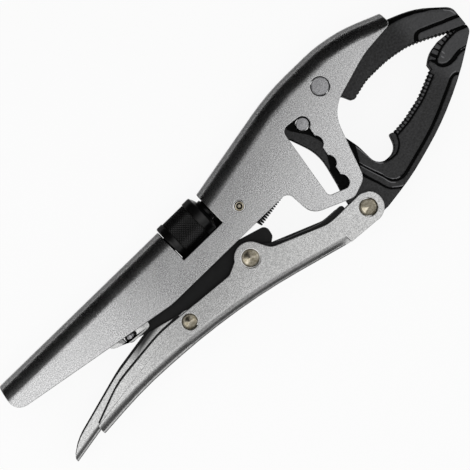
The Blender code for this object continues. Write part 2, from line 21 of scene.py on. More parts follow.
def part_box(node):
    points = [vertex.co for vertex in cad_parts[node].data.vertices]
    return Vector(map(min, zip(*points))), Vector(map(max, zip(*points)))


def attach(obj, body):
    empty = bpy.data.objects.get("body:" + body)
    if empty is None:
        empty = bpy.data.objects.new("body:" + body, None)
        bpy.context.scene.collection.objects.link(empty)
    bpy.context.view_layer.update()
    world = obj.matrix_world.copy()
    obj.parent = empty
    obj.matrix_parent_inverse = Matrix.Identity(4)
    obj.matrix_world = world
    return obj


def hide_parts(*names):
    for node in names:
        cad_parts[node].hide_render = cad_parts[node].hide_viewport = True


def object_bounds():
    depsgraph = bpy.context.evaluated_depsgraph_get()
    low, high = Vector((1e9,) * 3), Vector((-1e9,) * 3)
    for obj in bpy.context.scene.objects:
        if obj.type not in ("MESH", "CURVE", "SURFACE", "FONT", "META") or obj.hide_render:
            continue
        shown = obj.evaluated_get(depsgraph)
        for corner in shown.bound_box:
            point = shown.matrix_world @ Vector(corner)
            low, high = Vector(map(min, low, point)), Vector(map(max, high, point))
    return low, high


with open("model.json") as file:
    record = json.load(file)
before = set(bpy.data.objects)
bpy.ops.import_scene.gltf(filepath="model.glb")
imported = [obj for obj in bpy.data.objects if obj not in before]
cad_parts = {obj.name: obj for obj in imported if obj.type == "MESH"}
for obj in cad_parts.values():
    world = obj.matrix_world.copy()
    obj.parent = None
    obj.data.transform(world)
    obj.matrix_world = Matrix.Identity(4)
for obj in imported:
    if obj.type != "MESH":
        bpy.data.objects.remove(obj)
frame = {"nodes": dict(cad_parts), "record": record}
nodes = frame["nodes"]
mm = 0.001
cad_low, cad_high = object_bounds()
middle = (cad_low.z + cad_high.z) / 2
body_of = {node: body for body, held in frame["record"]["behaviour"]["bodies"].items() for node in held}
print("solids:", len(nodes), "size in mm:", [round(size / mm, 1) for size in cad_high - cad_low])

# %% [markdown]
# ## Camera
#
# The photograph was taken from straight above with a long lens, so there is almost no
# perspective. The camera hangs 1.2 m up and is turned about the vertical, so that the handle
# runs from the lower left to the upper right. The lens follows from the width of the picture.

# %% Camera
picture_width = 0.2007
picture_middle = Vector((-0.0277, -0.0043))
picture_turn = math.radians(44.21)
camera_height = 1.2

scene = bpy.context.scene
camera = bpy.data.objects.new("camera", bpy.data.cameras.new("camera"))
scene.collection.objects.link(camera)
scene.camera = camera
camera.data.sensor_width = 36
camera.data.lens = camera.data.sensor_width * (camera_height - cad_high.z) / picture_width
camera.location = (picture_middle.x, picture_middle.y, camera_height)
camera.rotation_euler = (0, 0, -picture_turn)
print("lens in mm:", round(camera.data.lens, 1))

# %% [markdown]
# ## Colours and nodes
#
# A few helpers serve every material. They turn a colour written as hex into the linear numbers
# that Blender works with, add one node and join it to others, and run a material's colour between
# two tones with noise of a real size.

# %% Colour and node helpers
def colour(hex_code):
    """Linear RGBA from an sRGB colour written as six hex digits."""
    shares = [int(hex_code[index:index + 2], 16) / 255 for index in (0, 2, 4)]
    return (*[share / 12.92 if share <= 0.04045 else ((share + 0.055) / 1.055) ** 2.4
              for share in shares], 1)


def add_node(tree, kind, inputs=None, **settings):
    """Add a node, set its options, and give its inputs numbers or other nodes' outputs."""
    made = tree.nodes.new(kind)
    for name, value in settings.items():
        setattr(made, name, value)
    for name, value in (inputs or {}).items():
        if isinstance(value, bpy.types.NodeSocket):
            tree.links.new(value, made.inputs[name])
        else:
            made.inputs[name].default_value = value
    return made


def new_material(name, constants):
    """A material with numbers on its shader's own sockets, and its Object coordinates."""
    made = bpy.data.materials.new(name)
    made.use_nodes = True
    shader = made.node_tree.nodes["Principled BSDF"]
    for socket, value in constants.items():
        shader.inputs[socket].default_value = value
    place = add_node(made.node_tree, "ShaderNodeTexCoord").outputs["Object"]
    return made, made.node_tree, shader, place


def mottle(tree, shader, place, grain_mm, detail, dark, light, rough=0.5):
    """Run the base colour between two tones, with noise whose grains are about this many millimetres.
    A tone is its place on the ramp and its colour."""
    grain = add_node(tree, "ShaderNodeTexNoise", {"Vector": place, "Scale": 1 / (grain_mm * mm),
                                                  "Detail": detail, "Roughness": rough}).outputs["Fac"]
    ramp = add_node(tree, "ShaderNodeValToRGB", {"Fac": grain})
    for element, (position, tone) in zip(ramp.color_ramp.elements, (dark, light)):
        element.position, element.color = position, colour(tone)
    tree.links.new(ramp.outputs["Color"], shader.inputs["Base Color"])
    return grain, ramp.outputs["Color"]


def cloudy(name, constants, cloud_mm, dark, light):
    """A finish whose colour is faintly clouded."""
    made, tree, shader, place = new_material(name, constants)
    mottle(tree, shader, place, cloud_mm, 3.0, dark, light)
    return made


# %% [markdown]
# ## Floor, lamps and cards
#
# The pliers lie on a white sheet. Its colour comes to the eye, and to the metal, mostly as plain
# white, and the rest is real shading, which keeps the soft shadow under the tool. One lamp hangs
# over the handle's end and one over the jaws and the lever, so the flat steel is bright there and
# darker near the nut. The sky is bright at the sides and dim overhead, which draws every cut edge
# as a light line. Photographers stand cards beside plated metal to draw its bends: a black card
# along the spine gives the dark band on it, grey ones draw the lever's bend, and paler skirts
# below them lighten both bends towards their outer edges. The cards only show in reflections.

# %% Floor
floor_size, floor_drop, floor_shading = 12.0, 0.05 * mm, 0.09

half = floor_size / 2
mesh = bpy.data.meshes.new("floor")
corners = [(x * half, y * half, -floor_drop) for x, y in ((-1, -1), (1, -1), (1, 1), (-1, 1))]
mesh.from_pydata(corners, [], [(0, 1, 2, 3)])
floor = bpy.data.objects.new("floor", mesh)
scene.collection.objects.link(floor)
white_sheet, tree, shader, _ = new_material(
    "white_paper_sheet", {"Base Color": colour("FFFFFF"), "Roughness": 0.9, "Specular IOR Level": 0.1})
ray = add_node(tree, "ShaderNodeLightPath").outputs
seen = ray["Is Camera Ray"]
for kind in ("Is Glossy Ray", "Is Transmission Ray"):
    seen = add_node(tree, "ShaderNodeMath", {0: seen, 1: ray[kind]}, operation="MAXIMUM").outputs[0]
share = add_node(tree, "ShaderNodeMath", {0: seen, 1: 1 - floor_shading}, operation="MULTIPLY")
plain = add_node(tree, "ShaderNodeEmission", {"Color": colour("FFFFFF"), "Strength": 1.0})
both = add_node(tree, "ShaderNodeMixShader", {0: share.outputs[0], 1: shader.outputs[0],
                                              2: plain.outputs[0]})
tree.links.new(both.outputs[0], tree.nodes["Material Output"].inputs["Surface"])
mesh.materials.append(white_sheet)
print("floor in m:", floor_size)

# %% World and lamps
sky_tones = ((0.0, 0.95), (0.3, 0.72), (0.6, 0.46), (0.93, 0.32), (1.0, 0.28))
lamps = (("lamp_over_handle_end", (-0.225, 0.0, 0.25), (0.26, 0.24), 0, 0.95),
         ("lamp_over_jaws_and_lever", (0.058, -0.074, 0.25), (0.24, 0.18), 25, 0.76))

scene.view_settings.view_transform = "Standard"
world = bpy.data.worlds.new("studio")
scene.world = world
world.use_nodes = True
tree = world.node_tree
direction = add_node(tree, "ShaderNodeTexCoord").outputs["Generated"]
height = add_node(tree, "ShaderNodeSeparateXYZ", {0: direction}).outputs["Z"]
sky = add_node(tree, "ShaderNodeValToRGB", {"Fac": height})
while len(sky.color_ramp.elements) < len(sky_tones):
    sky.color_ramp.elements.new(0.5)
for element, (position, tone) in zip(sky.color_ramp.elements, sky_tones):
    element.position, element.color = position, (tone, tone, tone, 1)
tree.links.new(sky.outputs["Color"], tree.nodes["Background"].inputs["Color"])

for name, place, size, turn_deg, radiance in lamps:
    lamp = bpy.data.objects.new(name, bpy.data.lights.new(name, "AREA"))
    scene.collection.objects.link(lamp)
    lamp.data.shape = "RECTANGLE"
    lamp.data.size, lamp.data.size_y = size
    lamp.data.energy = radiance * math.pi * size[0] * size[1]
    lamp.location = place
    lamp.rotation_euler = (0, 0, math.radians(turn_deg))
    lamp.visible_camera = False
    print(name, "watts:", round(lamp.data.energy, 3))


# %% Bent cards
def left_of(path):
    """The direction to the left of a path, at each of its points."""
    ahead = np.gradient(path, axis=0)
    ahead /= np.maximum(np.linalg.norm(ahead, axis=1), 1e-9)[:, None]
    return np.column_stack([-ahead[:, 1], ahead[:, 0]])


def card_board(name, hex_code):
    """Matt painted board."""
    settings = {"Base Color": colour(hex_code), "Roughness": 1.0, "Specular IOR Level": 0.0}
    return new_material(name, settings)[0]


def card(name, board, path, profile):
    """A bent board along a path. The profile gives its distance to the left of the path and its height."""
    spots = np.array(path, float)
    rows = len(profile)
    points = [(*((spot + side * out) * mm), height * mm) for spot, side in zip(spots, left_of(spots))
              for out, height in profile]
    faces = [(i * rows + j, (i + 1) * rows + j, (i + 1) * rows + j + 1, i * rows + j + 1)
             for i in range(len(path) - 1) for j in range(rows - 1)]
    card_mesh = bpy.data.meshes.new(name)
    card_mesh.from_pydata(points, [], faces)
    card_mesh.materials.append(board)
    made = bpy.data.objects.new(name, card_mesh)
    scene.collection.objects.link(made)
    for ray_kind in ("visible_camera", "visible_diffuse", "visible_shadow", "visible_transmission"):
        setattr(made, ray_kind, False)
    print(name, "faces:", len(faces))


# %% Cards beside the spine and the lever
black_board, grey_board = card_board("black_board", "050505"), card_board("grey_board", "7A7A7A")
pale_board, mid_board = card_board("pale_grey_board", "B8B8B8"), card_board("mid_grey_board", "8E8E8E")
spine = [(-180, 19.7), (-90, 19.7), (-28, 19.7), (24, 29.9), (60, 29.9), (86, 19.6), (104, 6)]
lever_back = [(4, -40.2), (-30, -31.4), (-60, -26.6), (-74, -25.4), (-90, -24.4), (-105, -24), (-122, -24),
              (-148, -27)]
card("spine_card", black_board, spine, [(13, 11), (14, 26), (3, 60)])
card("spine_skirt", pale_board, spine, [(5, 0.5), (13, 10)])
card("lever_card", grey_board, lever_back[:4], [(12, 10), (12, 24)])
card("lever_skirt", mid_board, [*lever_back[:3], lever_back[4], *lever_back[6:]], [(4, 0.5), (8.5, 9)])
card("lever_end_card", grey_board, lever_back[3:], [(9, 14), (9, 29)])

# %% [markdown]
# ## Satin nickel plate
#
# The sheet steel was blasted, then nickel plated. Blasting leaves fine pits, so the metal is
# matt with a sparkle of lighter and darker grains. The grains of the real one are finer than
# the picture can show, so they are drawn at about 0.4 mm. The same noise makes the pits, and a
# slow noise varies the roughness as handling does. The release lever's plate is painted darker
# near its pin: painted shade, for the dark reflection on its curved side.

# %% Satin nickel
handled_mm, handled_roughness = 14, (0.25, 0.31)


def blasted_nickel(name, grain_mm, dark, light, pit_depth_mm):
    """Nickel plate over blasted steel, with salt-and-pepper grain."""
    made, tree, shader, place = new_material(name, {"Metallic": 1.0})
    grain, _ = mottle(tree, shader, place, grain_mm, 2.0, (0.36, dark), (0.64, light), 0.6)
    wear = add_node(tree, "ShaderNodeTexNoise", {"Vector": place, "Scale": 1 / (handled_mm * mm),
                                                 "Detail": 3.0})
    matt = add_node(tree, "ShaderNodeMapRange", {
        "Value": wear.outputs["Fac"], "From Min": 0.3, "From Max": 0.7, "To Min": handled_roughness[0],
        "To Max": handled_roughness[1]})
    tree.links.new(matt.outputs["Result"], shader.inputs["Roughness"])
    pits = add_node(tree, "ShaderNodeBump", {"Height": grain, "Strength": 1.0, "Distance": pit_depth_mm * mm})
    tree.links.new(pits.outputs["Normal"], shader.inputs["Normal"])
    return made


handle_nickel = blasted_nickel("blasted_satin_nickel_plate", 0.42, "9C9C9D", "EAEAEA", 0.022)
lever_nickel, release_nickel_painted_shade = [
    blasted_nickel(name, 0.38, "A2A2A2", "E2E2E1", 0.012)
    for name in ("finely_blasted_satin_nickel_plate", "satin_nickel_plate_with_painted_shade")]

# %% Painted shade on the release lever, darkest at its pin and fading along and across the lever
painted_shade_start, painted_shade_turn = (-0.0834, -0.0083, 0), math.radians(9.2)
painted_shade_reach, painted_shade_width = 17 * mm, 3.4 * mm

tree = release_nickel_painted_shade.node_tree
shader, place = tree.nodes["Principled BSDF"], tree.nodes["Texture Coordinate"].outputs["Object"]
unshaded_metal = shader.inputs["Base Color"].links[0].from_socket
from_start = add_node(tree, "ShaderNodeVectorMath", {0: place, 1: painted_shade_start}, operation="SUBTRACT").outputs[0]
fades = []
for way, full_until, gone_at in (
        ((math.sin(painted_shade_turn), -math.cos(painted_shade_turn), 0), 0.3 * painted_shade_width, painted_shade_width),
        ((-math.cos(painted_shade_turn), -math.sin(painted_shade_turn), 0), 0.25 * painted_shade_reach, painted_shade_reach)):
    far = add_node(tree, "ShaderNodeVectorMath", {0: from_start, 1: way}, operation="DOT_PRODUCT")
    fade = add_node(tree, "ShaderNodeMapRange", {
        "Value": far.outputs["Value"], "From Min": full_until, "From Max": gone_at},
        interpolation_type="SMOOTHSTEP")
    fades.append(fade.outputs["Result"])
unshaded_share = add_node(tree, "ShaderNodeMath", {0: fades[0], 1: fades[1]}, operation="MAXIMUM")
# Painted shade: near the pin the plate's colour runs to dark grey, standing in for the dark reflection on the
# lever's curved side.
painted_shade_colour = add_node(tree, "ShaderNodeMix", {"Factor": unshaded_share.outputs[0], 6: colour("3A3A3A"), 7: unshaded_metal},
                 data_type="RGBA")
tree.links.new(painted_shade_colour.outputs[2], shader.inputs["Base Color"])
print("nickel finishes:", handle_nickel.name, lever_nickel.name, release_nickel_painted_shade.name)

# %% [markdown]
# ## Black phosphate on the forgings
#
# The jaws are forged and then phosphated: a thin, dry, very dark coat. It keeps the fine
# roughness of the hammered skin, so a soft grey sheen lies on the flat faces. Corners show
# lighter, for wear and as painted highlight: the mesh carries an attribute for that, which is
# high along them and a little above nothing at the tips. The grooves' floors and the side walls
# are duller and blacker and have a finish of their own, which is painted shade.

# %% Black phosphate, and the painted shade in its grooves
skin_mm, skin_depth_mm = 0.9, 0.07

black_phosphate, tree, shader, place = new_material(
    "black_phosphate_forging", {"Roughness": 0.45, "Specular IOR Level": 0.4})
skin, tone = mottle(tree, shader, place, skin_mm, 5.0, (0.35, "040405"), (0.70, "363637"), 0.7)
# Painted highlight and wear: the colour runs to light grey where the attribute is high, along corners, groove
# edges and teeth crowns.
wear_and_highlight = add_node(tree, "ShaderNodeAttribute", attribute_name="wear_and_highlight").outputs["Fac"]
worn_and_highlit = add_node(tree, "ShaderNodeMix", {"Factor": wear_and_highlight, 6: tone, 7: colour("8C8C8E")}, data_type="RGBA")
tree.links.new(worn_and_highlit.outputs[2], shader.inputs["Base Color"])
dents = add_node(tree, "ShaderNodeBump", {"Height": skin, "Strength": 0.9, "Distance": skin_depth_mm * mm})
tree.links.new(dents.outputs["Normal"], shader.inputs["Normal"])

# Painted shade: a near-black, dull finish for the deep parts of the grooves, the side walls, the arm between
# the plates and the rivet's grooves.
painted_shade_finish = cloudy("phosphate_with_painted_shade", {"Roughness": 0.7, "Specular IOR Level": 0.08}, 1.1,
                     (0.4, "030303"), (0.7, "0A0A0A"))
print("forging finishes:", black_phosphate.name, painted_shade_finish.name)

# %% [markdown]
# ## Black oxide
#
# The link, the two plates inside the lever, the nut and the screw were dipped in hot salts,
# which turns the steel itself black. Oiled black oxide is smoother than phosphate, so the nut's
# turned rims catch thin bright lines. The punched plates get a duller version of it, and the
# line where the jaw rubs on them a greyer one.

# %% Black oxide, on plates and on turned pieces
def black_oxide(name, dark, light, roughness, specular, cloud_mm):
    """Steel turned black in hot salts, with a faint cloudiness."""
    return cloudy(name, {"Roughness": roughness, "Specular IOR Level": specular}, cloud_mm, (0.35, dark),
                  (0.70, light))


oxide_plate = black_oxide("black_oxide_plate", "080809", "101011", 0.5, 0.25, 2.0)
oxide_turned = black_oxide("oiled_black_oxide_turned", "050505", "0D0D0D", 0.30, 0.4, 1.0)
oxide_worn = black_oxide("rubbed_black_oxide", "3C3C3D", "5A5A5B", 0.4, 0.4, 1.5)
print("oxide finishes:", oxide_plate.name, oxide_turned.name, oxide_worn.name)

# %% [markdown]
# ## Pins, rivets and spring wire
#
# The large pins are zinc plated and yellow passivated, which gives bare turned steel a faint
# straw colour. The flush rivet and the jaw's pin are plain steel. The spring is oil-blackened
# wire with a slight shine.

# %% Pin, rivet and wire finishes
def turned_metal(name, dark, light, roughness, stain_mm):
    """Bare or thinly plated turned metal, with faint stains."""
    return cloudy(name, {"Metallic": 1.0, "Roughness": roughness}, stain_mm, (0.35, dark), (0.65, light))


yellow_zinc = turned_metal("yellow_passivated_zinc", "A39A84", "D2CAB8", 0.22, 1.2)
rivet_steel = turned_metal("peened_steel_rivet", "8E8E90", "C6C6C8", 0.36, 0.5)
spring_steel = turned_metal("oiled_black_spring_wire", "1C1C1D", "2E2E30", 0.35, 0.8)
print("finishes in all:", len(bpy.data.materials))


# %% [markdown]
# ## Dressed solids
#
# The punched and folded pieces have the right shape already. What they lack is the small round
# that tumbling leaves along every cut edge, and it is this round that catches the thin bright
# lines. Each solid is copied, its corner points are joined again, its flat triangles are merged
# into whole faces, and a Bevel modifier rounds the edges that are sharper than a set angle. Where
# a fold runs out into a flat side the bevel throws a few points outwards, so every point that
# comes to lie outside the solid is put back on it. Weighted normals keep the flat faces flat.

# %% Copy a solid and place a piece
join_mm, flat_deg = 0.002, 0.3


def clean_solid(node):
    """The node's solid as a bmesh, with split corners joined and flat triangles merged."""
    bm = bmesh.new()
    bm.from_mesh(nodes[node].data)
    bmesh.ops.remove_doubles(bm, verts=bm.verts, dist=join_mm * mm)
    bmesh.ops.dissolve_limit(bm, angle_limit=math.radians(flat_deg), verts=bm.verts, edges=bm.edges)
    return bm


def smooth_object(bm, name, finish, smooth_deg):
    """An object made of a bmesh, shaded smooth except along edges sharper than an angle."""
    mesh = bpy.data.meshes.new(name)
    bm.to_mesh(mesh)
    bm.free()
    mesh.materials.append(finish)
    mesh.shade_smooth()
    mesh.set_sharp_from_angle(angle=math.radians(smooth_deg))
    made = bpy.data.objects.new(name, mesh)
    scene.collection.objects.link(made)
    return made


def place_piece(bm, node, finish, smooth_deg=35):
    """Turn a bmesh into the piece that stands for a node and rides on its body."""
    piece = smooth_object(bm, node + "_piece", finish, smooth_deg)
    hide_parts(node)
    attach(piece, body_of[node])
    return piece


# %% Round the edges of a solid
bevel_from_deg, stray_mm = 40, 0.02


def dress(node, finish, edge_mm, reshape=None):
    """Replace a solid by a copy with rounded edges."""
    bm = clean_solid(node)
    if reshape:
        reshape(bm)
    solid = BVHTree.FromBMesh(bm)
    rough = bpy.data.objects.new(node + "_rounding", bpy.data.meshes.new(node + "_rounding"))
    scene.collection.objects.link(rough)
    bm.to_mesh(rough.data)
    bevel = rough.modifiers.new("rounded_edges", "BEVEL")
    bevel.width = edge_mm * mm
    bevel.segments = 3
    bevel.limit_method = "ANGLE"
    bevel.angle_limit = math.radians(bevel_from_deg)
    bevel.use_clamp_overlap = False
    rounded = bpy.data.meshes.new_from_object(rough.evaluated_get(bpy.context.evaluated_depsgraph_get()))
    bpy.data.objects.remove(rough)
    bm.clear()
    bm.from_mesh(rounded)
    put_back = 0
    for vert in bm.verts:
        near, normal, _, _ = solid.find_nearest(vert.co)
        if (vert.co - near).dot(normal) > stray_mm * mm:
            vert.co = near
            put_back += 1
    print(node, "faces:", len(bm.faces), "points put back on the solid:", put_back)
    flats = place_piece(bm, node, finish).modifiers.new("flat_faces_shade_flat", "WEIGHTED_NORMAL")
    flats.keep_sharp = True


def narrow_heel(bm):
    """Slim the link towards its heel end, where only a thin line of it shows."""
    slimming, slim_from, slim_over, pin_room = 1.0 * mm, 16 * mm, 12 * mm, 2.2 * mm
    heel, toggle = [sum(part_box(node), Vector()).xy / 2 for node in ("heel_pin", "toggle_pin")]
    along = (toggle - heel).normalized()
    for vert in bm.verts:
        spot = vert.co.xy - heel
        foot = along * max(spot.dot(along), 0)
        out = spot - foot
        if out.length > pin_room:
            share = min(max((slim_from - foot.length) / slim_over, 0), 1)
            vert.co.xy = heel + foot + out.normalized() * (out.length - slimming * share)


# %% Dress the punched and folded pieces
dress("body_shell", handle_nickel, 0.35)
dress("lever", lever_nickel, 0.35)
dress("release_lever", release_nickel_painted_shade, 0.2)
dress("slider_block", lever_nickel, 0.25)
dress("toggle_link", oxide_plate, 0.2, narrow_heel)
dress("near_cheek", oxide_plate, 0.2)
dress("far_cheek", oxide_plate, 0.2)

# %% [markdown]
# ## Flat plates
#
# A few thin plates are cut from an outline. Behind the nut's hub the window doesn't show the
# sheet that the pliers lie on, but something black, except in the notch above the hub: a thin
# plate on the far side does that, black as painted shade. The slider's tab wraps round the heel
# pin and shows a dark hole. Black strips under the edges of the two levers draw the dark lines
# between them as painted shadow, and a thin line of wear runs along the cheeks.

# %% Cut plates from outlines
def plate(name, outline_mm, low_mm, high_mm, finish, body, round_mm=0.0, both_sides=True):
    """A flat plate between two heights, and its twin on the other side of the tool."""
    bm = bmesh.new()
    for mirror in (1, -1) if both_sides else (1,):
        base = low_mm * mm if mirror == 1 else 2 * middle - high_mm * mm
        face = bm.faces.new([bm.verts.new((x * mm, y * mm, base)) for x, y in outline_mm])
        grown = bmesh.ops.extrude_face_region(bm, geom=[face])["geom"]
        bmesh.ops.translate(bm, verts=[item for item in grown if isinstance(item, bmesh.types.BMVert)],
                            vec=(0, 0, (high_mm - low_mm) * mm))
    bmesh.ops.recalc_face_normals(bm, faces=bm.faces)
    if round_mm:
        rims = [edge for edge in bm.edges if abs(edge.verts[0].co.z - edge.verts[1].co.z) < 1e-6]
        bmesh.ops.bevel(bm, geom=rims, offset=round_mm * mm, segments=2, profile=0.5, affect="EDGES")
    piece = smooth_object(bm, name, finish, 35)
    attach(piece, body)
    print(name, "faces:", len(piece.data.polygons))


def strip(path, out_mm, in_mm):
    """The outline of a strip along a path. It reaches out to the path's right, by two widths for its
    ends, and in to its left."""
    spots = np.array(path, float)
    left = left_of(spots)
    outer = spots - left * np.linspace(*out_mm, len(spots))[:, None]
    return [tuple(spot) for spot in [*outer, *(spots + left * in_mm)[::-1]]]


# %% Black plate behind the nut's window, as painted shade
nut_low, nut_high = (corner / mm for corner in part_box("knurled_nut"))
nut_axis = (nut_low.y + nut_high.y) / 2
rear_x, front_x, foot_y, notch_y = nut_low.x - 0.6, nut_high.x + 0.9, nut_low.y - 0.6, nut_axis + 4.2
hub_x, collar_x = nut_high.x - 1.1, nut_high.x - 2.9
shade_plate_outline = [(rear_x, foot_y), (front_x, foot_y), (front_x, notch_y), (hub_x, notch_y),
                 (hub_x, nut_axis - 4.6), (collar_x, nut_axis - 7.0), (rear_x, nut_axis - 7.7)]
# Painted shade: the far plate is black where shade lies behind the nut's hub.
plate("nut_window_shade_plate", shade_plate_outline, 0.05, 1.45, oxide_plate, "body", both_sides=False)

# %% Slider tab
slot_round, slot_y, slot_rear, slot_front, slot_top = 1.25, -4.3, -92.2, -88.2, 2.0
slot_turns = [(x, math.radians(turn)) for x, first in ((slot_rear, 180), (slot_front, 270))
              for turn in range(first, first + 91, 15)]
slot_edge = [(x + slot_round * math.cos(turn), slot_y + slot_round * math.sin(turn))
             for x, turn in slot_turns]
tab_outline = [(-80.6, 2.0), (-80.45, -4.9), (-80.7, -6.1), (-81.3, -6.75), (-82.4, -7.0), (-85.0, -7.0),
               (-88.0, -6.95), (-89.3, -6.9), (-90.6, -6.6), (-91.9, -6.1), (-93.4, -5.3), (-95.5, -4.4),
               (-97.4, -3.75), (-98.9, -3.0), (-99.5, -2.4), (-99.75, -1.8), (-99.75, 2.0),
               (slot_rear - slot_round, slot_top), *slot_edge, (slot_front + slot_round, slot_top)]
plate("slider_tab", tab_outline, 12.85, 15.14, lever_nickel, "slider", 0.18)

# %% Black strips under the levers' edges, as painted shadow lines, and the line of wear on the cheeks
strip_in = 0.8
release_edge = [(-79.0, -9.3), (-83.5, -8.3), (-102.7, -11.4), (-106.0, -12.1), (-109.3, -12.9),
                (-121.2, -16.2), (-133.1, -19.5), (-135.6, -20.4), (-138.0, -21.5), (-140.3, -23.0),
                (-142.2, -24.3)]
lever_edge = [(-69.0, -12.4), (-71.5, -12.3), (-74.1, -12.3), (-78.0, -12.1), (-81.9, -12.2), (-85.8, -12.5),
              (-102.9, -14.4), (-106.3, -14.9), (-109.6, -15.8), (-112.9, -16.9), (-119.0, -19.2),
              (-125.4, -21.7)]
cheek_line = [(-17.0, -18.4), (-12.4, -21.0), (-7.1, -22.9), (-2.8, -24.7), (1.8, -26.1), (6.0, -26.6),
              (11.1, -26.8)]
# Painted shade: the black strips and the web stand in for the dark gaps along the levers' edges.
for name, path, out_mm, in_mm, low_mm, high_mm, finish, body, slot in (
        ("release_edge_shadow_strip", release_edge, (1.15, 0.28), strip_in, 12.62, 12.84, oxide_plate, "release",
         "release_lever"),
        ("release_edge_shadow_web", release_edge, (-0.15, -0.15), strip_in, 12.8, 13.65, oxide_plate, "release",
         "release_lever"),
        ("lever_edge_shadow_strip", lever_edge, (0.8, 0.7), strip_in, 15.16, 15.42, oxide_plate, "lever", "lever"),
        ("cheek_rub_line", cheek_line, (0.15, 0.15), 0.15, 15.12, 15.2, oxide_worn, "lever", "near_cheek")):
    plate(name, strip(path, out_mm, in_mm), low_mm, high_mm, finish, body)

# %% [markdown]
# ## Forged relief
#
# The jaws' flat sides carry grooves, a pad at the tip and chamfered teeth, all left by the
# forging dies. Their solids keep plain sides. Here each side is made again as a fine sheet of
# triangles inside the solid's outline. The height of every point is the solid's own height,
# less what the grooves take there. A groove is a path with a half width, a depth and a soft
# edge, so the distance from a point to the path is all that has to be known. The outer edge is
# rounded in the same way, by the distance to the outline.

# %% Smooth paths, distances and depths
def smooth_path(points_mm, per_span=8):
    """A smooth curve through points given in mm, as rows of x and y in metres."""
    spots = np.array(points_mm) * mm
    padded = np.vstack([2 * spots[0] - spots[1], spots, 2 * spots[-1] - spots[-2]])
    line = []
    for a, b, c, d in zip(padded, padded[1:], padded[2:], padded[3:]):
        for step in range(per_span):
            t = step / per_span
            line.append(0.5 * (2 * b + (c - a) * t + (2 * a - 5 * b + 4 * c - d) * t ** 2
                               + (3 * b - a - 3 * c + d) * t ** 3))
    return np.array(line + [spots[-1]])


def smoothed(table):
    """A table of strokes, or of lines of wear and painted highlight, with its paths made smooth."""
    return [(smooth_path(path), *sizes) for path, *sizes in table]


def distance_to(line, points, widths=(0, 0)):
    """Each point's distance to a line, less the line's half width, which runs evenly from end to end."""
    least = np.full(len(points), np.inf)
    half_widths = np.linspace(*widths, len(line)) * mm
    for a, b, start, end in zip(line, line[1:], half_widths, half_widths[1:]):
        along = b - a
        reach = max(along @ along, 1e-18)
        t = np.clip((points - a) @ along / reach, 0, 1)
        away = np.linalg.norm(points - a - t[:, None] * along, axis=1)
        least = np.minimum(least, away - start - t * (end - start))
    return least


def outline_gap(loops, points):
    """Each point's distance to the nearest outline."""
    return np.min([distance_to(np.vstack([loop, loop[:1]]), points) for loop in loops], axis=0)


def inside(loops, points):
    """Whether each point lies inside the loops and outside their holes."""
    within = np.zeros(len(points), bool)
    for a, b in [pair for loop in loops for pair in zip(loop, np.roll(loop, -1, axis=0))]:
        if a[1] != b[1]:
            crosses = (a[1] > points[:, 1]) != (b[1] > points[:, 1])
            meets = a[0] + (points[:, 1] - a[1]) * (b[0] - a[0]) / (b[1] - a[1])
            within ^= crosses & (points[:, 0] < meets)
    return within


def smooth_share(share):
    """Zero to one with soft ends."""
    share = np.clip(share, 0, 1)
    return share ** 2 * (3 - 2 * share)


def carve(points, strokes):
    """How deep the strokes cut at each point. A stroke is a path, its half widths at both ends,
    a depth and a soft edge, in mm."""
    depth = np.zeros(len(points))
    for path, widths, deep, soft in strokes:
        depth = np.maximum(depth, deep * mm * smooth_share(-distance_to(path, points, widths) / (soft * mm)))
    return depth


def offset_line(path, widths, step):
    """Points at even steps beside a path, at distances that run from one width to the other."""
    beside = path + left_of(path) * (np.linspace(*widths, len(path)) * mm)[:, None]
    lengths = np.concatenate([[0], np.cumsum(np.linalg.norm(np.diff(beside, axis=0), axis=1))])
    goals = np.arange(0, lengths[-1], step)
    return np.column_stack([np.interp(goals, lengths, beside[:, axis]) for axis in (0, 1)])


# %% Relief of the teeth
flank_mm, gap_lead_mm = (0.7, 1.5), 0.3
gap_widths, gap_depth, gap_soft = (0.34, 0.26), 0.7, 0.15
foot_widths, foot_depth, foot_soft = (0.42, 0.42), 0.8, 0.2
crown_front, crown_reach_mm, crown_shine = 0.45, 0.7, 0.45


def tooth_gaps(loop, low_x, high_x, reach_mm):
    """Short paths from the bottom of each gap between the teeth into the jaw."""
    before, after = np.roll(loop, 1, axis=0) - loop, np.roll(loop, -1, axis=0) - loop
    area = np.sum(loop[:, 0] * np.roll(loop[:, 1], -1) - np.roll(loop[:, 0], -1) * loop[:, 1])
    turns = (after[:, 0] * before[:, 1] - after[:, 1] * before[:, 0]) * np.sign(area)
    paths = []
    for spot, back, front, turn in zip(loop, before, after, turns):
        lengths = np.linalg.norm(back), np.linalg.norm(front)
        is_flank = min(lengths) > flank_mm[0] * mm and max(lengths) < flank_mm[1] * mm
        if turn < 0 and is_flank and low_x < spot[0] / mm < high_x:
            inward = -(back / lengths[0] + front / lengths[1])
            inward /= np.linalg.norm(inward)
            paths.append(np.array([spot - inward * gap_lead_mm * mm, spot + inward * reach_mm * mm]))
    return paths


def tooth_relief(loops, teeth):
    """Strokes for the gaps between the teeth and along their feet, and lines of wear and painted highlight
    for their crowns.
    """
    gaps = [path for loop in loops for path in tooth_gaps(loop, *teeth)]
    strokes = [(path, gap_widths, gap_depth, gap_soft) for path in gaps]
    feet = np.array(sorted(tuple(path[1]) for path in gaps))
    strokes.append((feet, foot_widths, foot_depth, foot_soft))
    in_order = sorted(gaps, key=lambda path: path[0][0])
    crowns = [(a[0] + b[0]) / 2 * crown_front + (a[1] + b[1]) / 2 * (1 - crown_front)
              for a, b in zip(in_order, in_order[1:])]
    print("gaps between teeth:", len(gaps))
    return strokes, [(np.array([crown, crown + 0.01 * mm]), crown_reach_mm, crown_shine) for crown in crowns]


# %% Points and triangles of a forged side
row_step, guide_step, guide_room = 0.866, 0.9, 0.42
rim_shares, rim_room, corner_limit = (0.08, 0.3, 0.62, 1.0), 0.06, 0.3
narrow_rub_and_highlight_mm, side_slope, side_room = 0.5, 0.03, 2 * mm


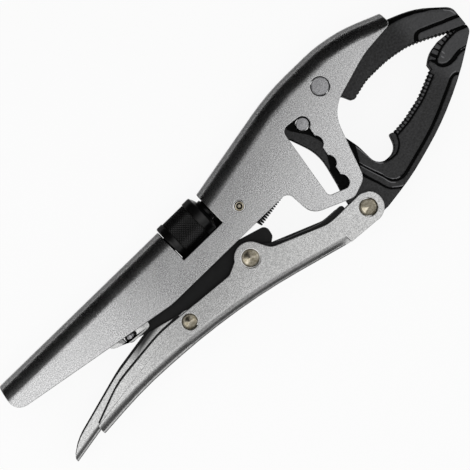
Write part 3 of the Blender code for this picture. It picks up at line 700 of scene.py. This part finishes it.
def side_points(loops, strokes, rubs_and_highlights, step, edge):
    """A side's points and their distances to its outline: an even grid, with rows of points along
    the strokes, the lines of wear and painted highlight, and the outline."""
    outline = np.vstack(loops)
    low, high = outline.min(axis=0), outline.max(axis=0)
    across, along = np.meshgrid(np.arange(low[0], high[0], step),
                                np.arange(low[1], high[1], step * row_step))
    across = across + (np.arange(len(across)) % 2 * step / 2)[:, None]
    grid = np.column_stack([across.ravel(), along.ravel()])
    guides = [offset_line(path, [side * (width - inset) for width in widths], step * guide_step)
              for path, widths, _, soft in strokes for side in (-1, 1) for inset in (0, soft)]
    guides += [offset_line(path, (shift, shift), step * guide_step) for path, width, _ in rubs_and_highlights
               for shift in (-width, 0, width) if width < narrow_rub_and_highlight_mm]
    for guide in guides:
        if len(guide) > 1:
            grid = np.vstack([grid[distance_to(guide, grid) > guide_room * step], guide])
    for share in rim_shares:
        for loop in loops:
            ahead = np.roll(loop, -1, axis=0) - loop
            ahead /= np.linalg.norm(ahead, axis=1)[:, None]
            normal = np.column_stack([-ahead[:, 1], ahead[:, 0]])
            corner = normal + np.roll(normal, 1, axis=0)
            corner /= np.maximum(np.linalg.norm(corner, axis=1), corner_limit)[:, None]
            grid = np.vstack([grid, loop + corner * edge * share])
    grid = grid[inside(loops, grid)]
    rim_gap = outline_gap(loops, grid)
    keep = rim_gap > rim_room * edge
    return grid[keep], rim_gap[keep]


def side_triangles(grid, loops):
    """A side's corners, the point that each comes from, its triangles and their middles."""
    start, borders = len(grid), []
    for loop in loops:
        borders += [(start + i, start + (i + 1) % len(loop)) for i in range(len(loop))]
        start += len(loop)
    flat = [Vector(spot) for spot in np.vstack([grid, *loops])]
    spots, _, triangles, origins, _, _ = delaunay_2d_cdt(flat, borders, [], 0, 1e-9)
    middles = np.array([sum((spots[i] for i in corners), Vector((0, 0))) / 3 for corners in triangles])
    within = inside(loops, middles)
    sources = [origin[0] if origin else 0 for origin in origins]
    return spots, sources, [corners for corners, held in zip(triangles, within) if held], middles[within]


def upward_rims(bm):
    """The top faces of a solid and the closed loops of points round them."""
    tops = {face for face in bm.faces
            if face.normal.z > side_slope and face.calc_center_median().z > middle + side_room}
    after = {}
    for face in tops:
        for loop in face.loops:
            if not any(other in tops for other in loop.edge.link_faces if other != face):
                after[loop.vert] = loop.link_loop_next.vert
    rims = []
    while after:
        first, here = after.popitem()
        rim = [first]
        while here != first:
            rim.append(here)
            here = after.pop(here)
        rims.append(rim)
    return tops, rims


# %% Put new sides on a solid
def swap_sides(bm, tops, rim_verts, sheet, triangles, painted_dark, bright, edge):
    """Cut both flat sides off a solid and put the sheet in their place, the lower one mirrored."""
    bottoms = [face for face in bm.faces
               if face.normal.z < -side_slope and face.calc_center_median().z < middle - side_room]
    bmesh.ops.delete(bm, geom=[*tops, *bottoms], context="FACES_ONLY")
    upper = set(rim_verts)
    low_rims = [vert for vert in bm.verts if vert not in upper and vert.co.z < middle
                and any(len(side.link_faces) == 1 for side in vert.link_edges)]
    for vert in rim_verts:
        vert.co.z -= edge
    for vert in low_rims:
        vert.co.z += edge
    for side in (1, -1):
        corners = [bm.verts.new((spot.x, spot.y, middle + side * (height - middle)))
                   for spot, height, _ in sheet]
        for corner, (_, _, shine) in zip(corners, sheet):
            corner[bright] = shine
        for triangle, dark in zip(triangles, painted_dark):
            face = bm.faces.new([corners[i] for i in (triangle if side > 0 else reversed(triangle))])
            face.material_index = int(dark)
    bmesh.ops.remove_doubles(bm, verts=bm.verts, dist=join_mm * mm)
    bmesh.ops.delete(bm, geom=[vert for vert in bm.verts if not vert.link_faces], context="VERTS")
    bmesh.ops.triangulate(bm, faces=[face for face in bm.faces if len(face.verts) > 4])


# %% Make a forged piece's sides again, with their relief
grid_mm, forged_edge_mm = 0.4, 0.3
tip_shine, tip_from_x, tip_over_x, rim_shine = 0.17, 80, 10, 0.1
painted_shade_depth_mm, painted_shade_rim_mm = 0.42, 0.22


def forge(node, strokes, rubs_and_highlights, teeth=None, reshape=None, shaded_area=None):
    """Replace a jaw's solid by one with carved sides, lines of wear and painted highlight, and rounded edges.
    """
    bm = clean_solid(node)
    if reshape:
        reshape(bm)
    bright = bm.verts.layers.float.new("wear_and_highlight")
    # Walls that don't face the tip get the dark finish, as painted shade.
    for face in bm.faces:
        face.material_index = int(abs(face.normal.z) < 0.5 and face.normal.x < 0.2)
    solid = BVHTree.FromBMesh(bm)
    tops, rims = upward_rims(bm)
    loops = [np.array([(vert.co.x, vert.co.y) for vert in rim]) for rim in rims]
    edge = forged_edge_mm * mm
    if teeth:
        gap_strokes, crown_rubs_and_highlights = tooth_relief(loops, teeth)
        strokes, rubs_and_highlights = strokes + gap_strokes, rubs_and_highlights + crown_rubs_and_highlights
    grid, rim_gap = side_points(loops, strokes, rubs_and_highlights, grid_mm * mm, edge)
    rounding = edge - np.sqrt(np.maximum(edge ** 2 - np.maximum(edge - rim_gap, 0) ** 2, 0))
    sunk = rounding + carve(grid, strokes)
    # Painted highlight and wear: lighter towards the tip and along the listed lines.
    shine = tip_shine * smooth_share((grid[:, 0] / mm - tip_from_x) / tip_over_x)
    for path, width, strength in rubs_and_highlights:
        shine = np.maximum(shine, strength * smooth_share(1 - distance_to(path, grid) / (width * mm)))
    spots, sources, triangles, middles = side_triangles(grid, loops)
    # Painted shade on the deep parts of the strokes and along the outline.
    painted_dark = (carve(middles, strokes) > painted_shade_depth_mm * mm) | (outline_gap(loops, middles) < painted_shade_rim_mm * mm)
    if shaded_area:
        painted_dark |= distance_to(shaded_area[0], middles) < shaded_area[1] * mm
    rim_verts = [vert for rim in rims for vert in rim]
    sheet = []
    for spot, source in zip(spots, sources):
        if source < len(grid):
            hit = solid.ray_cast(Vector((spot.x, spot.y, cad_high.z + mm)), Vector((0, 0, -1)))[0]
            sheet.append((spot, (hit.z if hit else middle) - sunk[source], shine[source]))
        else:
            sheet.append((spot, rim_verts[source - len(grid)].co.z - edge, rim_shine))
    swap_sides(bm, tops, rim_verts, sheet, triangles, painted_dark, bright, edge)
    print(node, "faces:", len(bm.faces), "open edges:", sum(side.is_boundary for side in bm.edges))
    place_piece(bm, node, black_phosphate, 50).data.materials.append(painted_shade_finish)


# %% [markdown]
# ## Upper jaw
#
# The fixed jaw's tip has a groove along its gripping edge, which bends down behind the tip, and a
# shallower one along its back. They could be cut with boolean bodies, but those leave sharp
# walls, and a die leaves soft ones. So each is a stroke with its own widths and depth.

# %% Upper jaw
upper_strokes = [
    ([(107.6, -4.3), (106.5, -3.8), (104.5, -2.9), (101.6, -1.7), (98.8, -0.6), (96.0, 0.7), (93.2, 1.8),
      (90.9, 2.8), (89.2, 3.3), (88.0, 3.2)], (0.85, 0.9), 1.2, 0.25),
    ([(89.2, 3.3), (88.0, 3.2), (87.0, 2.5), (86.2, 1.5), (85.4, 0.1), (84.9, -0.9)], (0.9, 1.3), 1.2,
      0.25),
    ([(80.5, 15.6), (82.1, 15.2), (84.8, 14.4), (88.5, 13.1), (92.5, 11.2), (94.5, 10.1), (96.9, 8.4),
      (99.4, 6.9), (101.6, 5.0), (103.7, 3.1), (105.5, 0.9)], (1.3, 0.35), 0.7, 0.25),
]
upper_rubs_and_highlights = [
    ([(103.6, 2.4), (105.0, 0.8), (105.6, -0.6), (105.8, -2.2)], 0.4, 0.9),
    ([(105.4, -2.4), (101.4, -0.7), (96.4, 1.5), (91.0, 3.8), (88.6, 4.2)], 0.3, 0.35),
]
forge("upper_jaw", smoothed(upper_strokes), smoothed(upper_rubs_and_highlights))

# %% [markdown]
# ## Lower jaw
#
# The moving jaw has the most relief. Grooves follow its belly and its arm, the pad at its tip has
# ten fine ribs and a swollen edge, and each gap between its teeth runs into a shallow trough. The
# gaps are found from the solid's own outline, so they stay with the teeth. The arm lies in shade
# where it works between the side plates, so it takes the finish of painted shade there.

# %% Lower jaw's pad and seam
pad_start, pad_end, pad_swell = Vector((82.80, -9.28)) * mm, Vector((91.55, -5.65)) * mm, 0.85 * mm
seam_corner, seam_closed = Vector((99.35, -6.90)) * mm, Vector((99.75, -6.05)) * mm
tip_corner, tip_lift = Vector((105.7, -9.45)) * mm, 0.6 * mm


def swell_pad(bm):
    """Round the pad's mouth edge outwards, and bring the tips' seam together."""
    near = 0.1 * mm
    straight = [edge for edge in bm.edges if all(
        min((vert.co.xy - pad_start).length, (vert.co.xy - pad_end).length) < near for vert in edge.verts)
        and (edge.verts[0].co.xy - edge.verts[1].co.xy).length > mm]
    made = bmesh.ops.subdivide_edges(bm, edges=straight, cuts=7, use_grid_fill=True)
    along = pad_end - pad_start
    out = Vector((-along.y, along.x)).normalized()
    for vert in {item for item in made["geom_split"] if isinstance(item, bmesh.types.BMVert)}:
        share = (vert.co.xy - pad_start).dot(along) / along.length_squared
        if 0.01 < share < 0.99:
            vert.co.xy = pad_start.lerp(pad_end, share) + out * pad_swell * math.sin(math.pi * share)
    moved = 0
    for vert in bm.verts:
        if (vert.co.xy - seam_corner).length < near:
            vert.co.xy = seam_closed
            moved += 1
        elif vert.co.x > tip_corner.x and vert.co.y > tip_corner.y:
            vert.co.y += tip_lift
            moved += 1
    print("pad edges split:", len(straight), "seam points moved:", moved)


# %% Lower jaw's grooves, and corners lighter for wear and painted highlight
pad_contour = [(86.0, -11.4), (86.9, -10.4), (87.9, -10.0), (90.9, -8.7), (93.6, -8.1), (96.3, -7.8),
               (98.4, -7.7), (100.6, -7.7), (102.5, -8.2), (104.0, -8.8), (105.6, -9.3)]
lower_strokes = [
    ([(89.6, -22.0), (88.5, -21.0), (87.2, -20.5), (85.2, -20.8), (83.2, -21.8), (79.8, -23.4),
      (76.3, -25.0), (71.8, -27.1), (65.0, -29.9), (58.5, -32.0), (51.0, -34.1), (43.3, -36.2),
      (41.0, -36.4)], (0.72, 0.75), 1.2, 0.22),
    ([(43.3, -36.2), (41.0, -36.4), (39.0, -36.0), (37.0, -34.4), (36.1, -32.6), (35.3, -30.0),
      (34.3, -27.4), (33.3, -24.6), (32.4, -21.8), (31.7, -19.2), (31.0, -16.5)], (0.62, 0.38), 1.2, 0.2),
    ([(27.4, -17.5), (28.8, -21.7), (29.5, -23.7), (30.2, -26.1), (31.2, -29.0), (32.1, -31.6),
      (32.8, -34.1), (33.8, -36.1), (35.8, -38.0), (38.0, -39.6), (39.6, -40.4)], (0.75, 0.35), 1.0, 0.22),
    ([(52.6, -20.2), (51.2, -23.3), (50.0, -25.2), (48.0, -26.7), (46.0, -27.5), (43.7, -27.5),
      (41.5, -27.0), (39.8, -26.1)], (0.42, 0.42), 0.9, 0.2),
    ([(41.5, -27.0), (39.8, -26.1), (38.7, -24.9), (37.9, -23.3), (37.3, -21.6), (36.9, -19.3),
      (36.7, -16.4), (36.2, -13.3), (35.8, -10.7), (35.2, -7.5), (34.2, -4.0)], (0.32, 0.22), 0.8, 0.15),
    ([(84.7, -9.9), (85.2, -10.7), (85.4, -11.6), (85.6, -12.7), (86.3, -14.0), (87.5, -14.9),
      (89.1, -15.5), (91.1, -15.6), (93.1, -15.4)], (0.6, 1.1), 1.2, 0.3),
    ([(91.1, -15.6), (93.1, -15.4), (94.8, -15.3), (96.6, -15.4), (98.3, -15.8), (99.8, -16.5)],
      (1.05, 0.35), 1.2, 0.25),
    ([(93.4, -14.7), (95.9, -14.4), (97.8, -14.7), (99.9, -15.2), (101.4, -15.9)], (0.5, 0.22), 1.0, 0.2),
    (pad_contour, (0.5, 0.65), 1.2, 0.25),
    ([(99.4, -6.3), (101.0, -6.8), (103.0, -7.7), (105.8, -8.9)], (0.5, 0.55), 1.2, 0.2),
]
lower_rubs_and_highlights = [
    ([(31.5, -17.5), (32.0, -18.9), (32.8, -21.5), (34.3, -25.8), (35.4, -28.6), (36.1, -31.4),
      (36.8, -33.2), (38.5, -35.0), (40.2, -35.6)], 0.32, 1.0),
    ([(30.7, -18.2), (31.3, -20.3), (32.0, -22.4), (32.9, -25.3), (33.9, -28.2), (34.9, -31.1),
      (35.3, -33.0), (36.0, -34.8), (37.2, -36.0)], 0.3, 0.8),
    ([(35.2, -11.2), (35.9, -14.5), (36.3, -18.0), (36.7, -21.4), (37.2, -23.6), (38.0, -25.2),
      (39.3, -26.4)], 0.3, 0.9),
    ([(34.8, -36.5), (36.1, -37.5), (37.4, -38.5), (38.7, -39.2)], 0.35, 0.9),
    ([(86.8, -12.4), (87.8, -13.6), (89.3, -14.3), (90.8, -14.4)], 0.3, 0.45),
    ([(88.9, -19.9), (87.2, -19.6), (85.4, -19.9)], 0.35, 0.8),
    ([(95.9, -15.0), (98.0, -15.2), (100.3, -15.9)], 0.3, 0.7),
    ([(90.6, -9.9), (90.7, -10.9)], 0.45, 0.8),
    ([(89.0, -11.2), (89.3, -12.2)], 0.45, 0.8),
]
print("lower jaw: strokes", len(lower_strokes), "rubbed lines", len(lower_rubs_and_highlights))

# %% Ribs of the pad, and the lower jaw itself
pad_ribs, rib_length, rib_widths, rib_depth, rib_soft = 10, 3.6 * mm, (0.48, 0.4), 0.55, 0.12
# Painted shade: the arm between the side plates gets the dark finish, within this half width of the path.
arm_path, arm_half_width = [(26, 14), (31, 6), (33, -3), (29, -12), (24, -20)], 6.5
teeth_from_x, teeth_to_x, tooth_reach = 51, 84.5, 1.5

lower_cuts = smoothed(lower_strokes)
contour = smooth_path(pad_contour)
for index in range(pad_ribs):
    foot = contour[4 + 6 * index]
    lean = contour[5 + 6 * index] - foot
    lean = np.array([-lean[1], lean[0]]) / np.linalg.norm(lean)
    lower_cuts.append((np.array([foot, foot + lean * rib_length]), rib_widths, rib_depth, rib_soft))
forge("lower_jaw", lower_cuts, smoothed(lower_rubs_and_highlights), (teeth_from_x, teeth_to_x, tooth_reach), swell_pad,
      (smooth_path(arm_path), arm_half_width))


# %% [markdown]
# ## Turned pins
#
# Each pin is a turned bar whose end was faced to a low cone, so that one side of it looks dark and
# the other bright. The profile is a short list of radius and depth pairs, and it is spun round
# the pin's own axis. The rings that the tool leaves are real steps in the profile, a few
# hundredths of a millimetre high, so they shine from any side. A fine gap shows round the end.
# The heel pin steps down where it runs in the slider's slot, and the rivet of the spring is
# hollow, with a rolled rim.

# %% Spin a profile
def spun(profile, centre, axis, sides):
    """A bmesh made by turning (radius, height) pairs about an axis, 'x' or 'z', through a centre."""
    bm = bmesh.new()
    rings = []
    for radius, height in profile:
        ring = []
        for index in range(1 if radius == 0 else sides):
            u = radius * math.cos(math.tau * index / sides)
            v = radius * math.sin(math.tau * index / sides)
            offset = (u, v, height) if axis == "z" else (height, u, v)
            ring.append(bm.verts.new(centre + Vector(offset)))
        rings.append(ring)
    for first, second in zip(rings, rings[1:]):
        for index in range(sides):
            after = (index + 1) % sides
            corners = [first[index % len(first)], first[after % len(first)],
                       second[after % len(second)], second[index % len(second)]]
            bm.faces.new([corner for i, corner in enumerate(corners) if corner not in corners[:i]])
    bmesh.ops.recalc_face_normals(bm, faces=bm.faces)
    return bm


def round_sizes(node, axis):
    """The centre of a node's solid, half its length along its axis, and its radius."""
    low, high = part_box(node)
    across = "x" if axis == "z" else "z"
    return ((low + high) / 2, (getattr(high, axis) - getattr(low, axis)) / 2,
            (getattr(high, across) - getattr(low, across)) / 2)


def spun_pin(end, node, finish, sides):
    """Replace a pin's solid by one spun from its end's profile, (radius, depth below the end), and
    the same at the other end."""
    centre, half, _ = round_sizes(node, "z")
    profile = [(radius, half - depth) for radius, depth in end]
    profile += [(radius, depth - half) for radius, depth in reversed(end)]
    return place_piece(spun(profile, centre, "z", sides), node, finish, 40)


def coned_end(radius, slope, gap, ring_width=0.24 * mm, ring_height=0.02 * mm):
    """Half of a pin's profile, from its centre to its side, as (radius, depth below the end)."""
    face = radius - gap
    count = round(face / ring_width)
    profile = [(0, 0)]
    for index in range(1, count + 1):
        out = face * index / count
        profile.append((out, out * slope + (ring_height if index % 2 else 0)))
    return profile + [(face + gap * 0.3, face * slope + gap * 2), (radius, face * slope + gap * 2.3)]


# %% Pins with coned ends
for node, finish, slope, gap_mm in (
        ("jaw_lever_pin", yellow_zinc, 0.45, 0.34), ("toggle_pin", yellow_zinc, 0.42, 0.34),
        ("release_pin", yellow_zinc, 0.45, 0.3), ("upper_jaw_rivet", rivet_steel, 0.01, 0.28),
        ("jaw_pivot_pin", rivet_steel, 0.03, 0.25), ("spring_peg", rivet_steel, 0.03, 0.1),
        ("screw_cross_pin", rivet_steel, 0.03, 0.15)):
    radius = round_sizes(node, "z")[2]
    spun_pin(coned_end(radius, slope, gap_mm * mm), node, finish, 96)
    print(node, "radius in mm:", round(radius / mm, 2))

# %% Stepped heel pin and hollow rivet
step_radius, step_depth = 0.98 * mm, 2.45 * mm
radius = round_sizes("heel_pin", "z")[2]
spun_pin([(0, 0), (step_radius * 0.8, 0.02 * mm), (step_radius, 0.2 * mm), (step_radius, step_depth),
          (radius, step_depth + 0.1 * mm)], "heel_pin", rivet_steel, 64)

rolled = ((0, 0.20), (0.33, 0.22), (0.40, 0.45), (0.43, 1.25), (0.54, 1.25), (0.58, 0.30), (0.64, 0.06),
          (0.74, 0.0), (0.84, 0.04), (0.90, 0.14), (0.92, 0.9), (0.98, 0.9), (1.0, 0.5))
# Painted shade: the faces in the rim's two grooves get the dark finish.
dark_rings = ((0.41, 0.56), (0.9, 0.985))
centre, _, radius = round_sizes("spring_anchor_rivet", "z")
rim_profile = [(radius * share, depth * mm) for share, depth in rolled]
rivet = spun_pin(rim_profile, "spring_anchor_rivet", yellow_zinc, 64)
rivet.data.materials.append(painted_shade_finish)
for face in rivet.data.polygons:
    share = (face.center.xy - centre.xy).length / radius
    face.material_index = int(any(start < share < end for start, end in dark_rings))
print("rolled rim radius in mm:", round(radius / mm, 2))

# %% [markdown]
# ## Knurl and thread
#
# Knurling rolls two sets of crossed spiral grooves into the nut, and what is left standing is a
# field of small diamonds. A thread is one spiral groove. Both are the same rule on a cylinder,
# so one node tree makes both: it wraps a fine grid round the axis and lowers each point by how
# deep it lies in the grooves. The sums are a table: the name of a result, what is done, and to
# which earlier results, inputs or numbers. Where the grooves aren't crossed, the second way is
# held at its full height.

# %% Node tree for spiral grooves on a cylinder
spiral_sums = (
    ("angle", "MULTIPLY", "round", math.tau), ("turns", "MULTIPLY", "round", "Starts"),
    ("leads", "DIVIDE", "along", "Lead"), ("slide", "MULTIPLY", "leads", "Starts"),
    ("forward", "ADD", "turns", "slide"), ("one_way", "PINGPONG", "forward", 0.5),
    ("backward", "SUBTRACT", "turns", "slide"), ("other_way", "PINGPONG", "backward", 0.5),
    ("uncrossed", "SUBTRACT", 1.0, "Crossed"), ("full", "MULTIPLY", "uncrossed", 0.5),
    ("second_way", "MAXIMUM", "other_way", "full"), ("nearest", "MINIMUM", "one_way", "second_way"),
    ("ridge", "MULTIPLY", "nearest", 2.0), ("groove", "SUBTRACT", 1.0, "ridge"),
    ("sunk", "MULTIPLY", "groove", "Depth"), ("radius", "SUBTRACT", "Radius", "sunk"),
    ("cosine", "COSINE", "angle"), ("sine", "SINE", "angle"),
    ("y", "MULTIPLY", "radius", "cosine"), ("z", "MULTIPLY", "radius", "sine"))


def spiral_tree():
    """A tree that makes a grooved cylinder skin along X, centred on the origin."""
    tree = bpy.data.node_groups.new("spiral_grooves", "GeometryNodeTree")
    tree.interface.new_socket("Geometry", in_out="OUTPUT", socket_type="NodeSocketGeometry")
    for kind, names in (("Float", ("Length", "Radius", "Depth", "Lead")), ("Bool", ("Crossed",)),
                        ("Int", ("Starts", "Steps Along", "Steps Around")), ("Material", ("Finish",))):
        for name in names:
            tree.interface.new_socket(name, in_out="INPUT", socket_type="NodeSocket" + kind)
    size = add_node(tree, "NodeGroupInput").outputs
    sheet = add_node(tree, "GeometryNodeMeshGrid", {
        "Size X": size["Length"], "Size Y": 1.0, "Vertices X": size["Steps Along"],
        "Vertices Y": size["Steps Around"]})
    position = add_node(tree, "GeometryNodeInputPosition").outputs[0]
    here = add_node(tree, "ShaderNodeSeparateXYZ", {0: position}).outputs
    known = {name: size[name] for name in ("Radius", "Depth", "Lead", "Starts", "Crossed")}
    known.update({"along": here["X"], "round": here["Y"]})
    for name, operation, *values in spiral_sums:
        inputs = {index: known.get(value, value) for index, value in enumerate(values)}
        known[name] = add_node(tree, "ShaderNodeMath", inputs, operation=operation).outputs[0]
    wrapped = add_node(tree, "ShaderNodeCombineXYZ", {"X": known["along"], "Y": known["y"], "Z": known["z"]})
    skin = sheet.outputs["Mesh"]
    for kind, inputs in (("GeometryNodeSetPosition", {"Position": wrapped.outputs[0]}),
                         ("GeometryNodeMergeByDistance", {"Distance": 0.005 * mm}),
                         ("GeometryNodeRealizeInstances", {}),
                         ("GeometryNodeSetMaterial", {"Material": size["Finish"]})):
        skin = add_node(tree, kind, {"Geometry": skin, **inputs}).outputs[0]
    add_node(tree, "NodeGroupOutput", {"Geometry": skin})
    return tree


spiral_grooves = spiral_tree()


def add_grooved_skin(bm, sizes, centre):
    """Run the tree with the given sizes and add its mesh, moved to the centre, to a bmesh."""
    holder = bpy.data.objects.new("skin_holder", bpy.data.meshes.new("skin_holder"))
    scene.collection.objects.link(holder)
    change = holder.modifiers.new("spiral_grooves", "NODES")
    change.node_group = spiral_grooves
    for socket in spiral_grooves.interface.items_tree:
        if socket.in_out == "INPUT":
            change[socket.identifier] = sizes[socket.name]
    made = bpy.data.meshes.new_from_object(holder.evaluated_get(bpy.context.evaluated_depsgraph_get()))
    bpy.data.objects.remove(holder)
    skin = bmesh.new()
    skin.from_mesh(made)
    bmesh.ops.translate(skin, verts=skin.verts, vec=centre)
    skin.to_mesh(made)
    skin.free()
    bm.from_mesh(made)
    bpy.data.meshes.remove(made)
    print("grooves each way:", sizes["Starts"])


# %% [markdown]
# ## Knurled nut
#
# The nut is turned first: two plain rims, a narrow grooved hub at the front, and a slightly
# smaller part between the rims, which then gets the knurl. The diamonds of the real one are
# about 0.9 mm across and lie at 45 degrees to the axis, which fixes how many grooves go round.

# %% Turned profile of the nut
centre, half, radius = round_sizes("knurled_nut", "x")
rim, front_rim, neck, round_edge = 3.5 * mm, 3.6 * mm, 3.35 * mm, 0.8 * mm
knurl_top, bore, hub = radius - 0.32 * mm, 4.3 * mm, 4.95 * mm
rear_edge, front_edge, shoulder = rim - half, half - neck - front_rim, half - neck
dip, chamfer = knurl_top - 0.4 * mm, 0.12 * mm
quarter = [math.radians(18 * step) for step in range(6)]
profile = [(bore, -half), (radius - round_edge - 0.6 * mm, -half)]
profile += [(radius - round_edge + round_edge * math.sin(turn), round_edge * (1 - math.cos(turn)) - half)
            for turn in quarter]
profile += [(radius, rear_edge - 0.5 * mm), (radius - chamfer, rear_edge - 0.2 * mm), (dip, rear_edge),
            (dip, front_edge), (radius - chamfer, front_edge + 0.15 * mm), (radius, front_edge + 0.35 * mm)]
profile += [(radius - round_edge * (1 - math.cos(turn)), shoulder + round_edge * math.sin(turn))
            for turn in quarter]
cone_foot = shoulder + 2.0 * mm
hub_grooves, groove_pitch, groove_floor = 3, 0.4 * mm, hub - 0.15 * mm
profile += [(hub + 1.6 * mm, cone_foot - 0.45 * mm), (hub + 0.5 * mm, cone_foot - 0.12 * mm),
            (hub, cone_foot)]
for index in range(hub_grooves):
    at_x = cone_foot + groove_pitch * index
    profile += [(groove_floor, at_x + 0.08 * mm), (groove_floor, at_x + 0.18 * mm), (hub, at_x + 0.26 * mm),
                (hub, at_x + 0.38 * mm)]
profile += [(bore, half), (bore, -half)]
bm = spun(profile, centre, "x", 128)
print("nut radius in mm:", round(radius / mm, 2), "points in its profile:", len(profile))

# %% Knurl between the nut's rims
diamond, knurl_depth = 0.92 * mm, 0.36 * mm
starts = round(math.tau * knurl_top / (diamond * math.sqrt(2)))
add_grooved_skin(bm, {"Length": front_edge - rear_edge, "Radius": knurl_top, "Depth": knurl_depth,
                      "Starts": starts, "Lead": math.tau * knurl_top, "Crossed": True, "Steps Along": 120,
                      "Steps Around": starts * 12 + 1, "Finish": oxide_turned},
                 centre + Vector(((front_edge + rear_edge) / 2, 0, 0)))
bmesh.ops.remove_doubles(bm, verts=bm.verts, dist=0.001 * mm)
print("nut faces:", len(bm.faces))
place_piece(bm, "knurled_nut", oxide_turned, 30)

# %% [markdown]
# ## Adjusting screw
#
# The screw has a right-hand thread with a pitch of 1.5 mm, a chamfered nose, and a plain rear end
# where the cross pin goes through. The thread comes from the nut's tree, with one groove and no
# crossing, on a core that is turned like the pins.

# %% Turn the screw and cut its thread
centre, half, radius = round_sizes("adjusting_screw", "x")
pitch, thread_depth, plain_end, nose = 1.5 * mm, 0.75 * mm, 12 * mm, 0.8 * mm
thread_length = 2 * half - plain_end - nose
core = radius - thread_depth
inner = core - 0.05 * mm
profile = [(0, -half), (radius - 0.4 * mm, -half), (radius, 0.4 * mm - half), (radius, plain_end - half),
           (inner, plain_end - half + 0.2 * mm), (inner, half - nose - 0.1 * mm), (core, half - nose),
           (core - 0.5 * mm, half), (0, half)]
bm = spun(profile, centre, "x", 64)
add_grooved_skin(bm, {"Length": thread_length, "Radius": radius, "Depth": thread_depth, "Starts": 1,
                      "Lead": -pitch, "Crossed": False, "Steps Along": round(thread_length / pitch * 8),
                      "Steps Around": 65, "Finish": oxide_turned},
                 centre + Vector(((plain_end - nose) / 2, 0, 0)))
print("screw faces:", len(bm.faces))
place_piece(bm, "adjusting_screw", oxide_turned, 60)

# %% [markdown]
# ## Opening spring
#
# One wire makes the hook, the curls and the eye. A Screw modifier could wind the curls, but the
# wire has to run on into the hook and the eye without a break. So its route is worked out as a
# list of points, and a curve with a round bevel gives the wire its thickness.

# %% Route of the spring's wire
anchor, _, anchor_radius = round_sizes("spring_anchor_rivet", "z")
peg, _, peg_radius = round_sizes("spring_peg", "z")
wire, coil, coil_pitch, lead, play = 0.38 * mm, 2.75 * mm, 1.19 * mm, 5.0 * mm, 0.35 * mm
rear = Vector((-17.05 * mm, -6.522 * mm, middle))
along = (peg - rear).normalized()
across = Vector((-along.y, along.x, 0))
curls = round(((peg - rear).length - lead) / coil_pitch)


def on_coil(turns):
    """A point of the wound part."""
    angle = math.pi + math.tau * turns
    return (rear + along * coil_pitch * turns + across * coil * math.sin(angle)
            + Vector((0, 0, coil * math.cos(angle))))


def eye_arc(centre, radius, start_deg, end_deg, steps):
    """Points of a hook or an eye in the middle plane."""
    turns = [math.radians(start_deg + (end_deg - start_deg) * step / steps) for step in range(steps + 1)]
    return [centre + along * radius * math.cos(turn) + across * radius * math.sin(turn) for turn in turns]


def bend(start, start_way, end, end_way, steps):
    """Points of a smooth bend, leaving out both ends."""
    shares = [step / steps for step in range(1, steps)]
    return [start * (1 + 2 * t) * (1 - t) ** 2 + start_way * t * (1 - t) ** 2
            + end * t ** 2 * (3 - 2 * t) - end_way * t ** 2 * (1 - t) for t in shares]


hook = eye_arc(anchor, anchor_radius + wire + play, -20, 180, 20)
shank = (hook[-1] - on_coil(0)).length
route = hook + bend(hook[-1], -across * shank, on_coil(0), -across * shank, 12)
route += [on_coil(step / 24) for step in range(curls * 24 + 1)]
eye = eye_arc(peg, peg_radius + wire + play, -120, 150, 20)
reach = (eye[0] - route[-1]).length
route += bend(route[-1], -across * reach, eye[0], (eye[1] - eye[0]).normalized() * reach, 10) + eye
wire_length = sum((after - before).length for before, after in zip(route, route[1:]))
print("spring curls:", curls, "wire length in mm:", round(wire_length / mm))

# %% Sweep the wire along its route
curve = bpy.data.curves.new("spring_wire", "CURVE")
curve.dimensions = "3D"
curve.bevel_depth = wire
curve.bevel_resolution = 3
curve.use_fill_caps = True
spline = curve.splines.new("POLY")
spline.points.add(len(route) - 1)
for point, spot in zip(spline.points, route):
    point.co = (*spot, 1)
wound = bpy.data.objects.new("spring_wire", curve)
bm = bmesh.new()
bm.from_mesh(wound.to_mesh())
bpy.data.objects.remove(wound)
bmesh.ops.remove_doubles(bm, verts=bm.verts, dist=0.001 * mm)
print("spring faces:", len(bm.faces))
place_piece(bm, "opening_spring", spring_steel, 50)
